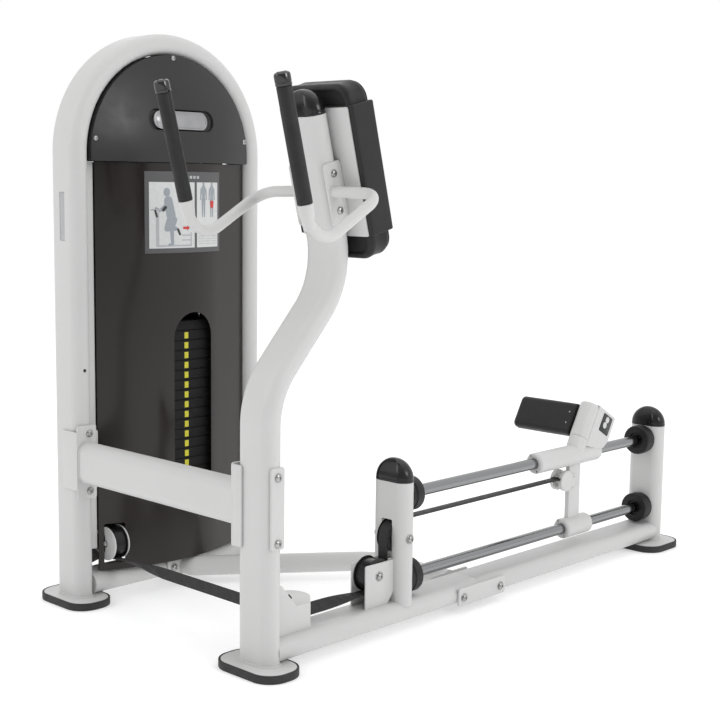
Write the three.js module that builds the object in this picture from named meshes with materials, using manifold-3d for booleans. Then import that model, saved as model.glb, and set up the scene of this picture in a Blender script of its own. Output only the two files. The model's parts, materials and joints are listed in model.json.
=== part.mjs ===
// Standing glute press (single-leg press) with a selectorised weight tower.
// Millimetres, +Z up, +X from the user's column to the rear post, +Y towards the tower.
import * as THREE from 'three';
import { mergeVertices } from 'three/addons/utils/BufferGeometryUtils.js';
import Module from 'manifold-3d';

const wasm = await Module();
wasm.setup();

// ---------------------------------------------------------------- driving dimensions
const CLEAR = 0.3;                     // air gap kept between touching parts
const TUBE_W = 101.6, TUBE_T = 50.8;   // flat-oval frame tube, 4 in by 2 in
const WALL = 6;                        // bracket plate thickness
const BOLT_R = 9.5, BOLT_H = 6;        // domed bolt heads
const FOOT_H = 18.4, FOOT_HX = 57.8, FOOT_HY = 96;   // rubber shoe: height, half length, half width
const FOOT_R = 50, FOOT_RIM = 4.5, FOOT_FLOOR = 12.5; // its corner radius, rim and recess floor
const BEAM_Z = FOOT_H + 0.4 + TUBE_T / 2;
const BEAM_TOP = BEAM_Z + TUBE_T / 2;
const SPLICE_X = 687, SPLICE_HALF = 90;
const LEAN = THREE.MathUtils.degToRad(14.5);       // backward lean of pad and column top
const COL_BENDS = [[0, 596], [213, 833]], COL_END = [124.5, 1175], COL_R = 180;
const MID_X = 421.2, REAR_X = 1512, POST_TOP = 351, DOME_H = 54;
const REAR_FOOT_HX = 80, REAR_FOOT_DX = -22;
const ROD_R = 14.3, ROD_UP_Z = 312.4, ROD_LOW_Z = 115.1;
const BUMPER_R = 41, BUMPER_T = 38;
const TIE_Z = 356.9, TIE_BOLT_DZ = 70.5;
const TOWER_Y = 676.9, TOWER_X = 542, TOWER_TOP = 1393;
const ARCH_R = TOWER_X / 2, ARCH_Z = TOWER_TOP - TUBE_T / 2 - ARCH_R, ARCH_X = TOWER_X / 2;
const ARCH_IN = ARCH_R - TUBE_T / 2;
const SHROUD_FRONT = 586, SHROUD_R = 425, SHROUD_T = 3, SHROUD_LEFT = 221, SHROUD_RIGHT = 242;
const SHROUD_BEND = 125;                            // its bow runs straight beyond this distance
const SHROUD_Z0 = 73, COVER_Z0 = 1079;
const WINDOW_R = 64, WINDOW_Z = 642;                // half width, and height of the round top's centre
const STACK_X = 305, STACK_Y = TOWER_Y, PLATE_W = 228, PLATE_D = 116, PITCH = 25.4;
const STACK_TOP = 657, PLATES = 18, PICKED = 16;
const STACK_ROD_R = 9.5, STACK_ROD_DX = 90;
const BELT_W = 28, BELT_T = 2.4;
const PULLEY_R = 36, FLANGE_R = 41, BELT_R = PULLEY_R + CLEAR + BELT_T / 2;
const BELT_X = 85;                                  // vertical belt line beside the stack
const LOW_PULLEY = [BELT_X, STACK_Y - BELT_R, 140];
const TOP_PULLEY_Z = 1205;
const BAR_Z0 = 1130, BAR_Z1 = 1158;                 // cross bar that carries the top wheels
const CORNER = [BELT_X + BELT_R, BELT_R, LOW_PULLEY[2] - BELT_R];
const MID_LOW = [347, 0, CORNER[2] + BELT_R];
const MID_UP = [MID_X, 0, 219];
const PRESS_Z = MID_UP[2] + BELT_R;
const STUB_X = 1138, STUB_TILT = THREE.MathUtils.degToRad(30), STUB_R = 25.4;
const JOINT_S = 50, HEAD_TOP_S = 150;
const PAD_LEN = 377, PAD_HALF = 102, PAD_BACK = 440.8, PAD_T = 66;
const HANDLE_Y = 181.5, HANDLE_R = 12, GRIP_R = 15.5;

// ---------------------------------------------------------------- geometry helpers
const V = (x, y, z) => new THREE.Vector3(x, y, z);
const EX = V(1, 0, 0), EY = V(0, 1, 0), EZ = V(0, 0, 1);

// turns every face outwards
function orient(geo) {
  const p = geo.attributes.position, ix = geo.index.array;
  let vol = 0;
  const a = V(0, 0, 0), b = V(0, 0, 0), c = V(0, 0, 0);
  for (let i = 0; i < ix.length; i += 3) {
    a.fromBufferAttribute(p, ix[i]);
    b.fromBufferAttribute(p, ix[i + 1]);
    c.fromBufferAttribute(p, ix[i + 2]);
    vol += a.dot(b.cross(c));
  }
  if (vol < 0) {
    for (let i = 0; i < ix.length; i += 3) [ix[i + 1], ix[i + 2]] = [ix[i + 2], ix[i + 1]];
  }
  return geo;
}

function indexed(positions, index) {
  const geo = new THREE.BufferGeometry();
  geo.setAttribute('position', new THREE.Float32BufferAttribute(positions, 3));
  geo.setIndex(index);
  return orient(geo);
}

// skin over a list of equal-length loops; closed joins the last loop to the first
function loft(rings, closed = false) {
  const n = rings[0].length, m = rings.length, pos = [], idx = [];
  for (const ring of rings) for (const p of ring) pos.push(p.x, p.y, p.z);
  for (let k = 0; k < (closed ? m : m - 1); k++) {
    const k2 = (k + 1) % m;
    for (let i = 0; i < n; i++) {
      const j = (i + 1) % n, a = k * n + i, b = k * n + j, c = k2 * n + i, d = k2 * n + j;
      idx.push(a, b, d, a, d, c);
    }
  }
  if (!closed) {
    const last = (m - 1) * n;
    for (let i = 1; i + 1 < n; i++) idx.push(0, i + 1, i, last, last + i, last + i + 1);
  }
  return indexed(pos, idx);
}

// closed plate between two surfaces sampled on the same (u, v) grid
function slab(us, vs, front, back) {
  const nu = us.length, nv = vs.length, pos = [], idx = [];
  for (const f of [front, back]) for (const u of us) for (const v of vs) {
    const p = f(u, v);
    pos.push(p.x, p.y, p.z);
  }
  const at = (s, i, j) => s * nu * nv + i * nv + j;
  const quad = (a, b, c, d) => idx.push(a, b, c, a, c, d);
  for (let i = 0; i + 1 < nu; i++) for (let j = 0; j + 1 < nv; j++) {
    quad(at(0, i, j), at(0, i + 1, j), at(0, i + 1, j + 1), at(0, i, j + 1));
    quad(at(1, i, j), at(1, i, j + 1), at(1, i + 1, j + 1), at(1, i + 1, j));
  }
  for (let i = 0; i + 1 < nu; i++) {
    quad(at(0, i, 0), at(1, i, 0), at(1, i + 1, 0), at(0, i + 1, 0));
    quad(at(0, i, nv - 1), at(0, i + 1, nv - 1), at(1, i + 1, nv - 1), at(1, i, nv - 1));
  }
  for (let j = 0; j + 1 < nv; j++) {
    quad(at(0, 0, j), at(0, 0, j + 1), at(1, 0, j + 1), at(1, 0, j));
    quad(at(0, nu - 1, j), at(1, nu - 1, j), at(1, nu - 1, j + 1), at(0, nu - 1, j + 1));
  }
  return indexed(pos, idx);
}

const steps = (a, b, n) => Array.from({ length: n + 1 }, (_, i) => a + (b - a) * i / n);

function circle(r, n = 24) {
  return steps(0, 2 * Math.PI, n).slice(0, n).map(t => [r * Math.cos(t), r * Math.sin(t)]);
}

// rectangle with rounded corners; a flat-oval tube is one with r equal to its half thickness
function roundRect(hx, hy, r, n = 5) {
  const out = [];
  for (const [sx, sy, t0] of [[1, 1, 0], [-1, 1, 1], [-1, -1, 2], [1, -1, 3]])
    for (const t of steps(t0 * Math.PI / 2, (t0 + 1) * Math.PI / 2, n))
      out.push([sx * (hx - r) + r * Math.cos(t), sy * (hy - r) + r * Math.sin(t)]);
  return out.filter((p, i) => {
    const q = out[(i + 1) % out.length];
    return Math.hypot(p[0] - q[0], p[1] - q[1]) > 1e-6;
  });
}
const oval = (w = TUBE_W, t = TUBE_T, n = 5) => roundRect(w / 2, t / 2, Math.min(w, t) / 2 - 1e-3, n);

const ring = (sec, o, u, v) => sec.map(([a, b]) => o.clone().addScaledVector(u, a).addScaledVector(v, b));

// polyline with its inner corners replaced by arcs; gives points with tangents
function filleted(points, radii, seg = 8) {
  const out = [];
  const push = (p, t) => out.push({ p, t: t.clone().normalize() });
  push(points[0], points[1].clone().sub(points[0]));
  for (let i = 1; i + 1 < points.length; i++) {
    const a = points[i - 1].clone().sub(points[i]).normalize();
    const b = points[i + 1].clone().sub(points[i]).normalize();
    const half = a.angleTo(b) / 2, r = radii[i - 1];
    const mid = points[i].clone().addScaledVector(a.clone().add(b).normalize(), r / Math.sin(half));
    const from = points[i].clone().addScaledVector(a, r / Math.tan(half)).sub(mid);
    const axis = a.clone().cross(b).normalize().negate();
    const sweepAngle = Math.PI - 2 * half;
    for (const s of steps(0, sweepAngle, seg)) {
      const d = from.clone().applyAxisAngle(axis, s);
      push(mid.clone().add(d), axis.clone().cross(d));
    }
  }
  const n = points.length;
  push(points[n - 1], points[n - 1].clone().sub(points[n - 2]));
  return out;
}

// section swept along a path; first section axis starts along wide and is carried without twist
function sweep(section, path, wide) {
  let u = wide.clone();
  return loft(path.map(({ p, t }) => {
    u.addScaledVector(t, -u.dot(t)).normalize();
    return ring(section, p, u, t.clone().cross(u));
  }));
}

const tube = (section, from, to, wide) =>
  sweep(section, [from, to].map(p => ({ p, t: to.clone().sub(from).normalize() })), wide);

// solid of revolution from (distance along axis, radius) pairs; bore closes it round a hole
function turned(profile, o, axis, { n = 24, bore = false } = {}) {
  const u = Math.abs(axis.z) > 0.9 ? EX.clone() : EZ.clone();
  u.addScaledVector(axis, -u.dot(axis)).normalize();
  const w = axis.clone().cross(u);
  return loft(profile.map(([s, r]) => ring(circle(r, n), o.clone().addScaledVector(axis, s), u, w)), bore);
}
const disc = (o, axis, s0, s1, r, n) => turned([[s0, r], [s1, r]], o, axis, { n });
// domed bolt head standing out from o; its foot is sunk 1 mm into the plate it holds
const boltHead = (o, out) => turned([[-1, BOLT_R], [BOLT_H - 2, BOLT_R], [BOLT_H, 5]], o, out, { n: 16 });

function prism(outline, depth, o, u, v) {
  const shape = new THREE.Shape(outline.map(([a, b]) => new THREE.Vector2(a, b)));
  const geo = new THREE.ExtrudeGeometry(shape, { depth, bevelEnabled: false, curveSegments: 1 });
  geo.applyMatrix4(new THREE.Matrix4().makeBasis(u, v, u.clone().cross(v)).setPosition(o));
  return bare(geo);
}

function box(x0, x1, y0, y1, z0, z1) {
  const geo = new THREE.BoxGeometry(x1 - x0, y1 - y0, z1 - z0);
  return bare(geo.translate((x0 + x1) / 2, (y0 + y1) / 2, (z0 + z1) / 2));
}

// positions only, with shared corners merged
function bare(geo) {
  const g = new THREE.BufferGeometry();
  g.setAttribute('position', geo.attributes.position);
  if (geo.index) g.setIndex(geo.index);
  return orient(mergeVertices(g, 1e-4));
}

function toManifold(geo) {
  const g = mergeVertices(geo, 1e-4);
  return new wasm.Manifold(new wasm.Mesh({
    numProp: 3,
    vertProperties: Float32Array.from(g.attributes.position.array),
    triVerts: Uint32Array.from(g.index.array),
  }));
}
function fromManifold(m) {
  const mesh = m.getMesh();
  return indexed(Array.from(mesh.vertProperties), Array.from(mesh.triVerts));
}
const fuse = (...geos) => fromManifold(geos.map(toManifold).reduce((a, b) => a.add(b)));
const cut = (geo, ...tools) =>
  fromManifold(tools.map(toManifold).reduce((a, b) => a.subtract(b), toManifold(geo)));
const common = (a, b) => fromManifold(toManifold(a).intersect(toManifold(b)));

// ---------------------------------------------------------------- materials and the assembly
const group = new THREE.Group();
const paint = { color: 0xe9e9e7, metalness: 0.1, roughness: 0.38 };
const rubber = { color: 0x141414, metalness: 0, roughness: 0.75 };
const blackPlastic = { color: 0x0e0e10, metalness: 0, roughness: 0.28 };
const chrome = { color: 0xb9bcc0, metalness: 1, roughness: 0.16 };
const smoked = { color: 0x2b2523, metalness: 0, roughness: 0.2 };
const plateBlack = { color: 0x121212, metalness: 0.2, roughness: 0.55 };
const vinyl = { color: 0x191a1b, metalness: 0, roughness: 0.6 };

function part(name, geo, look) {
  const mesh = new THREE.Mesh(geo, new THREE.MeshStandardMaterial(look));
  mesh.name = name;
  group.add(mesh);
}

// ---------------------------------------------------------------- repeated parts
// steel plate lying in the recess of a rubber shoe
function foot(name, x, y, hx = FOOT_HX, hy = FOOT_HY) {
  const loop = (inset, z) => ring(roundRect(hx - inset, hy - inset, FOOT_R - inset), V(x, y, z), EX, EY);
  part(`${name}_foot_rubber`, loft([loop(1.5, 0), loop(0, 1.5), loop(0, FOOT_H - 1), loop(1, FOOT_H),
    loop(FOOT_RIM, FOOT_H), loop(FOOT_RIM, FOOT_FLOOR)]), rubber);
  const inset = FOOT_RIM + CLEAR;
  part(`${name}_foot_plate`, loft([loop(inset, FOOT_FLOOR + CLEAR), loop(inset, FOOT_H - 1),
    loop(inset + 1, FOOT_H)]), paint);
}

// domed end cap on a flat-oval tube end
function dome(name, o, axis) {
  const side = axis.clone().cross(EY);
  const loop = (h, s) =>
    ring(oval(TUBE_W + 1).map(([a, b]) => [a * s, b * s]), o.clone().addScaledVector(axis, h), EY, side);
  const rise = steps(0, Math.PI / 2 - 0.14, 5).map(t => loop(5 + (DOME_H - 5) * Math.sin(t), Math.cos(t)));
  part(name, loft([loop(CLEAR, 1), ...rise]), blackPlastic);
}

// flanged flat-belt wheel; width is the outside width over both flanges
function pulley(name, centre, axis, width) {
  const w = width / 2, lip = w - 1.4, floor = lip - 0.4;
  part(name, turned([[-w, FLANGE_R], [-lip, FLANGE_R], [-floor, PULLEY_R], [floor, PULLEY_R], [lip, FLANGE_R],
    [w, FLANGE_R], [w, 7], [-w, 7]], V(...centre), axis, { n: 24, bore: true }), blackPlastic);
}

function bumper(name, x, z) {
  part(name, turned([[0, BUMPER_R - 1.5], [1.5, BUMPER_R], [BUMPER_T - 2, BUMPER_R], [BUMPER_T, BUMPER_R - 2],
    [BUMPER_T, ROD_R + CLEAR], [0, ROD_R + CLEAR]], V(x, 0, z), EX, { bore: true }), rubber);
}

// ---------------------------------------------------------------- user column and base
const leanUp = V(-Math.sin(LEAN), 0, Math.cos(LEAN));      // along the leaning column top
const leanBack = V(Math.cos(LEAN), 0, Math.sin(LEAN));     // out of its padded face
const onLean = (c, y, s) => V(0, y, 0).addScaledVector(leanBack, c).addScaledVector(leanUp, s);

function userColumn() {
  const top = V(COL_END[0], 0, COL_END[1]);
  const pts = [V(0, 0, FOOT_H + CLEAR), ...COL_BENDS.map(([x, z]) => V(x, 0, z)), top];
  part('column_tube', sweep(oval(), filleted(pts, [COL_R, COL_R], 7), EY), paint);
  dome('column_cap', top, leanUp);
  foot('column', -3, 0);
}

function baseBeam() {
  const lay = (x0, x1) => tube(oval(), V(x0, 0, BEAM_Z), V(x1, 0, BEAM_Z), EY);
  part('beam_front', lay(TUBE_T / 2 + CLEAR, SPLICE_X - CLEAR), paint);
  part('beam_rear', lay(SPLICE_X, REAR_X - TUBE_T / 2 - CLEAR), paint);
  const y = -TUBE_W / 2 - CLEAR;
  const plate = prism(roundRect(SPLICE_HALF, 22, 6, 3), WALL, V(SPLICE_X, y, BEAM_Z - 3), EX, EZ);
  const heads = [-71, 71].map(dx => boltHead(V(SPLICE_X + dx, y - WALL, BEAM_Z - 5), V(0, -1, 0)));
  part('splice_plate', fuse(plate, ...heads), paint);
}

// the middle post is slotted for the belt and carries the lower wheel between two cheeks
function posts() {
  const upright = (x, z0) => tube(oval(), V(x, 0, z0), V(x, 0, POST_TOP), EY);
  const slot = box(MID_X - 40, MID_X + 40, -18, 18, 165, 263);
  const foot0 = BEAM_TOP + CLEAR;
  const side = [[302, foot0], [302, 169], [304, 171.5], [397, 171.5], [397, 95], [374, foot0]];
  const cheeks = [-24, 20.5].map(y => prism(side, 3.5, V(0, y + 3.5, 0), EX, EZ));
  const bolts = [-1, 1].flatMap(s => [
    boltHead(V(MID_X, s * (TUBE_W / 2 - 1), MID_UP[2]), V(0, s, 0)),
    boltHead(V(MID_LOW[0], s * 24, MID_LOW[2]), V(0, s, 0))]);
  part('mid_post', fuse(cut(upright(MID_X, foot0), slot), ...cheeks, ...bolts), paint);
  dome('mid_post_cap', V(MID_X, 0, POST_TOP), EZ);
  part('rear_post', upright(REAR_X, FOOT_H + CLEAR), paint);
  dome('rear_post_cap', V(REAR_X, 0, POST_TOP), EZ);
  foot('rear', REAR_X + REAR_FOOT_DX, 0, REAR_FOOT_HX);
}

function guideRods() {
  const x0 = MID_X + TUBE_T / 2 + CLEAR, x1 = REAR_X - TUBE_T / 2 - CLEAR;
  for (const [level, z] of [['upper', ROD_UP_Z], ['lower', ROD_LOW_Z]]) {
    part(`guide_rod_${level}`, disc(V(x0, 0, z), EX, 0, x1 - x0, ROD_R), chrome);
    bumper(`bumper_front_${level}`, x0, z);
    bumper(`bumper_rear_${level}`, x1 - BUMPER_T, z);
  }
}

// ---------------------------------------------------------------- weight tower
function tie() {
  const y0 = TUBE_W / 2 + CLEAR, y1 = TOWER_Y - TUBE_W / 2 - CLEAR;
  const beam = tube(oval(), V(0, y0 + 3, TIE_Z), V(0, y1 - 3, TIE_Z), EZ);
  const end = (y) => prism(roundRect(31, 91, 6, 3), WALL, V(0, y, TIE_Z), EX, EZ);
  const wing = (x0, ya, yb) => box(x0, x0 + WALL, ya, yb, TIE_Z - 66, TIE_Z + 76);
  const bolts = [-1, 1].map(s => boltHead(V(0, y1 - WALL, TIE_Z + s * TIE_BOLT_DZ), V(0, -1, 0)));
  part('tie_tube', fuse(beam, end(y0 + WALL), end(y1), wing(-TUBE_T / 2 - CLEAR - WALL, y1 - WALL, y1 + 55),
    wing(TUBE_T / 2 + CLEAR, y1 - WALL, y1 + 22), ...bolts), paint);
}

function tower() {
  const leg = (x, z) => V(x, TOWER_Y, z);
  const z0 = FOOT_H + CLEAR;
  const bend = steps(Math.PI, 0, 20).map(a => ({
    p: leg(ARCH_X + ARCH_R * Math.cos(a), ARCH_Z + ARCH_R * Math.sin(a)),
    t: V(Math.sin(a), 0, -Math.cos(a)),
  }));
  const path = [{ p: leg(0, z0), t: EZ.clone() }, ...bend, { p: leg(TOWER_X, z0), t: V(0, 0, -1) }];
  const strips = [[TUBE_T / 2 - 1, TUBE_T / 2 + 22], [TOWER_X - TUBE_T / 2 - 22, TOWER_X - TUBE_T / 2 + 1]]
    .map(([a, b]) => box(a, b, 652, 655, 130, COVER_Z0 - 2));
  const slotPlate = box(-TUBE_T / 2 - 1, -TUBE_T / 2 + 3, 664, 684, 890, 1005);
  part('tower_arch', fuse(cut(sweep(oval(), path, EY), slotPlate), ...strips), paint);
  const inner = TUBE_T / 2 + CLEAR;
  part('tower_crossmember', tube(oval(), leg(inner, BEAM_Z), leg(TOWER_X - inner, BEAM_Z), EY), paint);
  foot('tower_left', 0, TOWER_Y);
  foot('tower_right', TOWER_X, TOWER_Y);
}

function brace() {
  const y0 = TOWER_Y - TUBE_W / 2 - CLEAR;
  const pts = [V(306, y0 - 3, BEAM_Z), V(306, y0 - 26, BEAM_Z), V(690, 298, BEAM_Z), V(690, 54, BEAM_Z)];
  const run = sweep(circle(TUBE_T / 2, 18), filleted(pts, [22, 120], 5), EZ);
  const flange = prism(roundRect(70, 22, 6, 3), WALL, V(690, TUBE_W / 2 + CLEAR + WALL, BEAM_Z), EX, EZ);
  const shoe = prism(roundRect(62, 22, 6, 3), WALL, V(306, y0, BEAM_Z), EX, EZ);
  part('brace_tube', fuse(run, flange, shoe), paint);
}

// bowed across the tower, then straight on to its right edge
const bow = (x, front, r) => {
  const turn = Math.min(x - ARCH_X, SHROUD_BEND), fall = Math.sqrt(r * r - turn * turn);
  return front + r - fall + (x - ARCH_X - turn) * turn / fall;
};
const coverFront = (x, z) => {
  const q = ((x - ARCH_X) ** 2 + Math.max(0, z - ARCH_Z) ** 2) / (ARCH_IN * ARCH_IN);
  return 627 - 44 * (1 - q);
};

// window and pulley notch are cut through the bowed front panel
function shrouds() {
  const us = steps(ARCH_X - SHROUD_LEFT, ARCH_X + SHROUD_RIGHT, 18);
  const panel = slab(us, [SHROUD_Z0, COVER_Z0 - 1.5], (x, z) => V(x, bow(x, SHROUD_FRONT, SHROUD_R), z),
    (x, z) => V(x, bow(x, SHROUD_FRONT + SHROUD_T, SHROUD_R - SHROUD_T), z));
  const hood = steps(0, Math.PI, 14).map(t => [WINDOW_R * Math.cos(t), WINDOW_Z + WINDOW_R * Math.sin(t)]);
  const win = [[-WINDOW_R, 225], [WINDOW_R, 225], ...hood];
  const windowTool = prism(win, 60, V(STACK_X, 640, 0), EX, EZ);
  const notch = box(BELT_X - 24, BELT_X + 24, 580, 700, 90, 190);
  part('front_shroud', cut(panel, windowTool, notch), smoked);

  const back = (x) => 2 * TOWER_Y - bow(x, SHROUD_FRONT, SHROUD_R);
  part('rear_shroud', slab(us, [SHROUD_Z0, COVER_Z0 - 1.5], (x, z) => V(x, back(x), z),
    (x, z) => V(x, back(x) - SHROUD_T, z)), smoked);
}

// domed covers that fill the arch, front and back
function covers() {
  const r = ARCH_IN - 1;
  const crown = steps(0, Math.PI, 24).map(t => [r * Math.cos(t), ARCH_Z + r * Math.sin(t)]);
  const arch = [[-r, COVER_Z0], [r, COVER_Z0], ...crown];
  const us = steps(ARCH_X - r - 5, ARCH_X + r + 5, 12), vs = steps(COVER_Z0 - 5, ARCH_Z + r + 5, 7);
  const field = (f, t) => slab(us, vs, (x, z) => V(x, f(x, z), z), (x, z) => V(x, f(x, z) + t, z));
  const outline = (y) => prism(arch, 260, V(ARCH_X, y, 0), EX, EZ);
  const coverBack = (x, z) => 2 * TOWER_Y - coverFront(x, z);
  part('front_cover', common(field(coverFront, SHROUD_T), outline(750)), blackPlastic);
  part('rear_cover', common(field(coverBack, -SHROUD_T), outline(860)), blackPlastic);
}

// instruction placard on the shroud and blank badge on the cover
function trim() {
  const onShroud = (gap) => (x, z) => V(x, bow(x, SHROUD_FRONT, SHROUD_R) - gap, z);
  const onCover = (gap) => (x, z) => V(x, coverFront(x, z) - gap, z);
  part('placard', slab(steps(161, 403, 10), [857, 1057], onShroud(1.8), onShroud(CLEAR)),
    { color: 0x9a9c9e, metalness: 0, roughness: 0.5 });
  part('badge', slab(steps(ARCH_X - 84, ARCH_X + 84, 8), steps(1160, 1206, 2), onCover(2.2), onCover(CLEAR)),
    { color: 0x9da0a5, metalness: 0.6, roughness: 0.35 });
}

// ---------------------------------------------------------------- weight stack
// underside of plate k counted from the top
const plateBottom = (k) => STACK_TOP - PITCH * k;

function platePile(first, last) {
  const loop = (z, inset) =>
    ring(roundRect(PLATE_W / 2 - inset, PLATE_D / 2 - inset, 7, 1), V(STACK_X, STACK_Y, z), EX, EY);
  const rings = [];
  for (let k = last; k >= first; k--) {
    const z0 = plateBottom(k) + (k === last ? CLEAR : 0), z1 = plateBottom(k - 1);
    rings.push(loop(z0, 2.2), loop(z0 + 1.6, 0), loop(z1 - 1.6, 0), loop(z1, 2.2));
  }
  return loft(rings.filter((r, i) => i === 0 || r[0].z - rings[i - 1][0].z > 1e-6));
}

function weightStack() {
  const rodAt = (s) => V(STACK_X + s * STACK_ROD_DX, STACK_Y, 0);
  const bores = (z0, z1) => [-1, 1].map(s => disc(rodAt(s), EZ, z0, z1, STACK_ROD_R + 1.2, 20));
  const headZ = STACK_TOP + 26;
  const headLoop = (dz, inset) => ring(roundRect(PLATE_W / 2 - inset, PLATE_D / 2 - inset, 7, 2),
    V(STACK_X, STACK_Y, STACK_TOP - 0.5 + dz), EX, EY);
  const head = loft([headLoop(0, 0), headLoop(20, 0), headLoop(26, 4)]);
  const stud = turned([[-2, 16], [34, 16], [38, 12]], V(STACK_X, STACK_Y, headZ), EZ, { n: 20 });
  const pinZ = plateBottom(PICKED) + PITCH / 2;
  const front = STACK_Y - PLATE_D / 2;
  const pinHole = disc(V(STACK_X, front, pinZ), EY, -5, 62, 5.6, 16);
  part('lifted_plates', cut(fuse(platePile(1, PICKED), head, stud), ...bores(100, 760), pinHole), plateBlack);
  part('resting_plates', cut(platePile(PICKED + 1, PLATES), ...bores(100, 760)), plateBlack);
  const knob = [[-38, 9], [-36, 13], [-14, 13], [-11, 10], [-3, 8]];
  const shank = [[-3, 4.8], [58, 4.8], [60, 3.5]];
  part('selector_pin', turned([...knob, ...shank], V(STACK_X, front, pinZ), EY, { n: 20 }),
    { color: 0xc8b01e, metalness: 0, roughness: 0.4 });

  const rest = plateBottom(PLATES), base = BEAM_TOP + CLEAR;
  const foundation = box(STACK_X - 110, STACK_X + 110, STACK_Y - 32, STACK_Y + 32, base, rest - 60);
  const cushions = [-55, 55].map(dx =>
    disc(V(STACK_X + dx, STACK_Y, 0), EZ, rest - 61, rest - CLEAR, 24, 20));
  part('stack_cushion', cut(fuse(foundation, ...cushions), ...bores(50, 200)), rubber);
  for (const [side, s] of [['left', -1], ['right', 1]])
    part(`stack_rod_${side}`, disc(rodAt(s), EZ, base, BAR_Z0 - 1, STACK_ROD_R, 20), chrome);
}

// ---------------------------------------------------------------- belt drive
const TOP_LEFT_X = BELT_X + BELT_R, TOP_RIGHT_X = STACK_X - BELT_R;

function wheels() {
  pulley('tower_lower_pulley', LOW_PULLEY, EX, 34);
  pulley('top_pulley_left', [TOP_LEFT_X, STACK_Y, TOP_PULLEY_Z], EY, 34);
  pulley('top_pulley_right', [TOP_RIGHT_X, STACK_Y, TOP_PULLEY_Z], EY, 34);
  pulley('corner_pulley', CORNER, EZ, 34);
  pulley('mid_lower_pulley', MID_LOW, EY, 38);
  pulley('mid_upper_pulley', MID_UP, EY, 34);
}

// bracket of the tower's lower wheel, bar of its top wheels and guard of the corner wheel
function wheelMounts() {
  const cheek = (x) => fuse(disc(V(x, LOW_PULLEY[1], LOW_PULLEY[2]), EX, 0, 4, FLANGE_R + 4),
    box(x, x + 4, LOW_PULLEY[1], STACK_Y + 22, 118, 162));
  part('tower_pulley_bracket', fuse(cheek(BELT_X - 22), cheek(BELT_X + 18),
    box(BELT_X - 22, BELT_X + 22, STACK_Y + 18, STACK_Y + 22, 118, 162)), paint);

  const bar = box(34, 508, STACK_Y - 30, STACK_Y + 30, BAR_Z0, BAR_Z1);
  const sides = [-24, 20].map(dy => box(TOP_LEFT_X - 20, TOP_RIGHT_X + 20, STACK_Y + dy, STACK_Y + dy + 4,
    BAR_Z1 - 1, TOP_PULLEY_Z + 18));
  const gaps = [BELT_X, STACK_X].map(x => box(x - 7, x + 7, STACK_Y - 17, STACK_Y + 17, 1100, 1200));
  part('top_pulley_bar', cut(fuse(bar, ...sides), ...gaps), paint);

  // sheet-metal guard over the corner wheel, standing on the beam against the column
  const wallY = -20, x0 = TUBE_T / 2 + CLEAR, z0 = BEAM_TOP + CLEAR, zTop = CORNER[2] + 25;
  const wall = prism([[x0, z0], [x0, 184], [42, 181], [86, zTop], [128, zTop], [128, 92], [152, z0]],
    4, V(0, wallY, 0), EX, EZ);
  const nose = steps(-Math.PI / 5, Math.PI * 0.9, 14)
    .map(t => [CORNER[0] + 46 * Math.cos(t), CORNER[1] + 46 * Math.sin(t)]);
  const lid = (z) => prism([[x0 + 54, wallY - 2], [128, wallY - 2], ...nose], 4, V(0, 0, z), EX, EY);
  part('corner_guard', fuse(wall, lid(zTop - 4), lid(z0)), paint);
}

// flat belt piece; each station has a point p, a travel direction t and the belt's width direction w
function beltPiece(name, stations) {
  const w2 = BELT_W / 2, t2 = BELT_T / 2;
  const section = [[-w2, -t2], [w2, -t2], [w2, t2], [-w2, t2]];
  part(name, loft(stations.map(({ p, t, w }) => ring(section, p, w, t.clone().cross(w)))), rubber);
}

// belt lying on a wheel, from one angle to another in the plane of a and b
function arcStations(c, a, b, from, to, w, seg = 8) {
  const way = Math.sign(to - from);
  return steps(from, to, seg).map(s => ({
    p: c.clone().addScaledVector(a, BELT_R * Math.cos(s)).addScaledVector(b, BELT_R * Math.sin(s)),
    t: a.clone().multiplyScalar(-way * Math.sin(s)).addScaledVector(b, way * Math.cos(s)),
    w,
  }));
}

// free belt span between two stations; its width turns from one to the other over the first share of it
function twistStations(from, to, seg = 8, share = 1) {
  const t = to.p.clone().sub(from.p).normalize();
  return steps(0, 1, seg).slice(1, -1).map(s => {
    const angle = Math.min(1, s / share) * Math.PI / 2;
    const w = from.w.clone().multiplyScalar(Math.cos(angle)).addScaledVector(to.w, Math.sin(angle));
    return { p: from.p.clone().lerp(to.p, s), t, w };
  });
}

// over the two top wheels, down beside the stack, forward along the floor and round to the press line
function beltRun() {
  const H = Math.PI / 2, west = EX.clone().negate();
  const overRight = arcStations(V(TOP_RIGHT_X, STACK_Y, TOP_PULLEY_Z), EX, EZ, 0, H, EY);
  const overLeft = arcStations(V(TOP_LEFT_X, STACK_Y, TOP_PULLEY_Z), EX, EZ, H, 2 * H, EY);
  const underLow = arcStations(V(...LOW_PULLEY), EY, EZ, 0, -H, west);
  const roundCorner = arcStations(V(...CORNER), EX, EY, 2 * H, 3 * H, EZ);
  const dx = MID_UP[0] - MID_LOW[0], dz = MID_UP[2] - MID_LOW[2];
  const rise = Math.atan2(dz, dx) + Math.asin(2 * BELT_R / Math.hypot(dx, dz));
  const underMid = arcStations(V(...MID_LOW), EX, EZ, -H, rise - H, EY);
  const overMid = arcStations(V(...MID_UP), EX, EZ, rise + H, H, EY);
  return [...overRight, ...overLeft, ...twistStations(overLeft.at(-1), underLow[0], 10),
    ...underLow, ...twistStations(underLow.at(-1), roundCorner[0], 12, 0.34),
    ...roundCorner, ...twistStations(roundCorner.at(-1), underMid[0], 10, 0.8), ...underMid, ...overMid];
}

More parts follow.
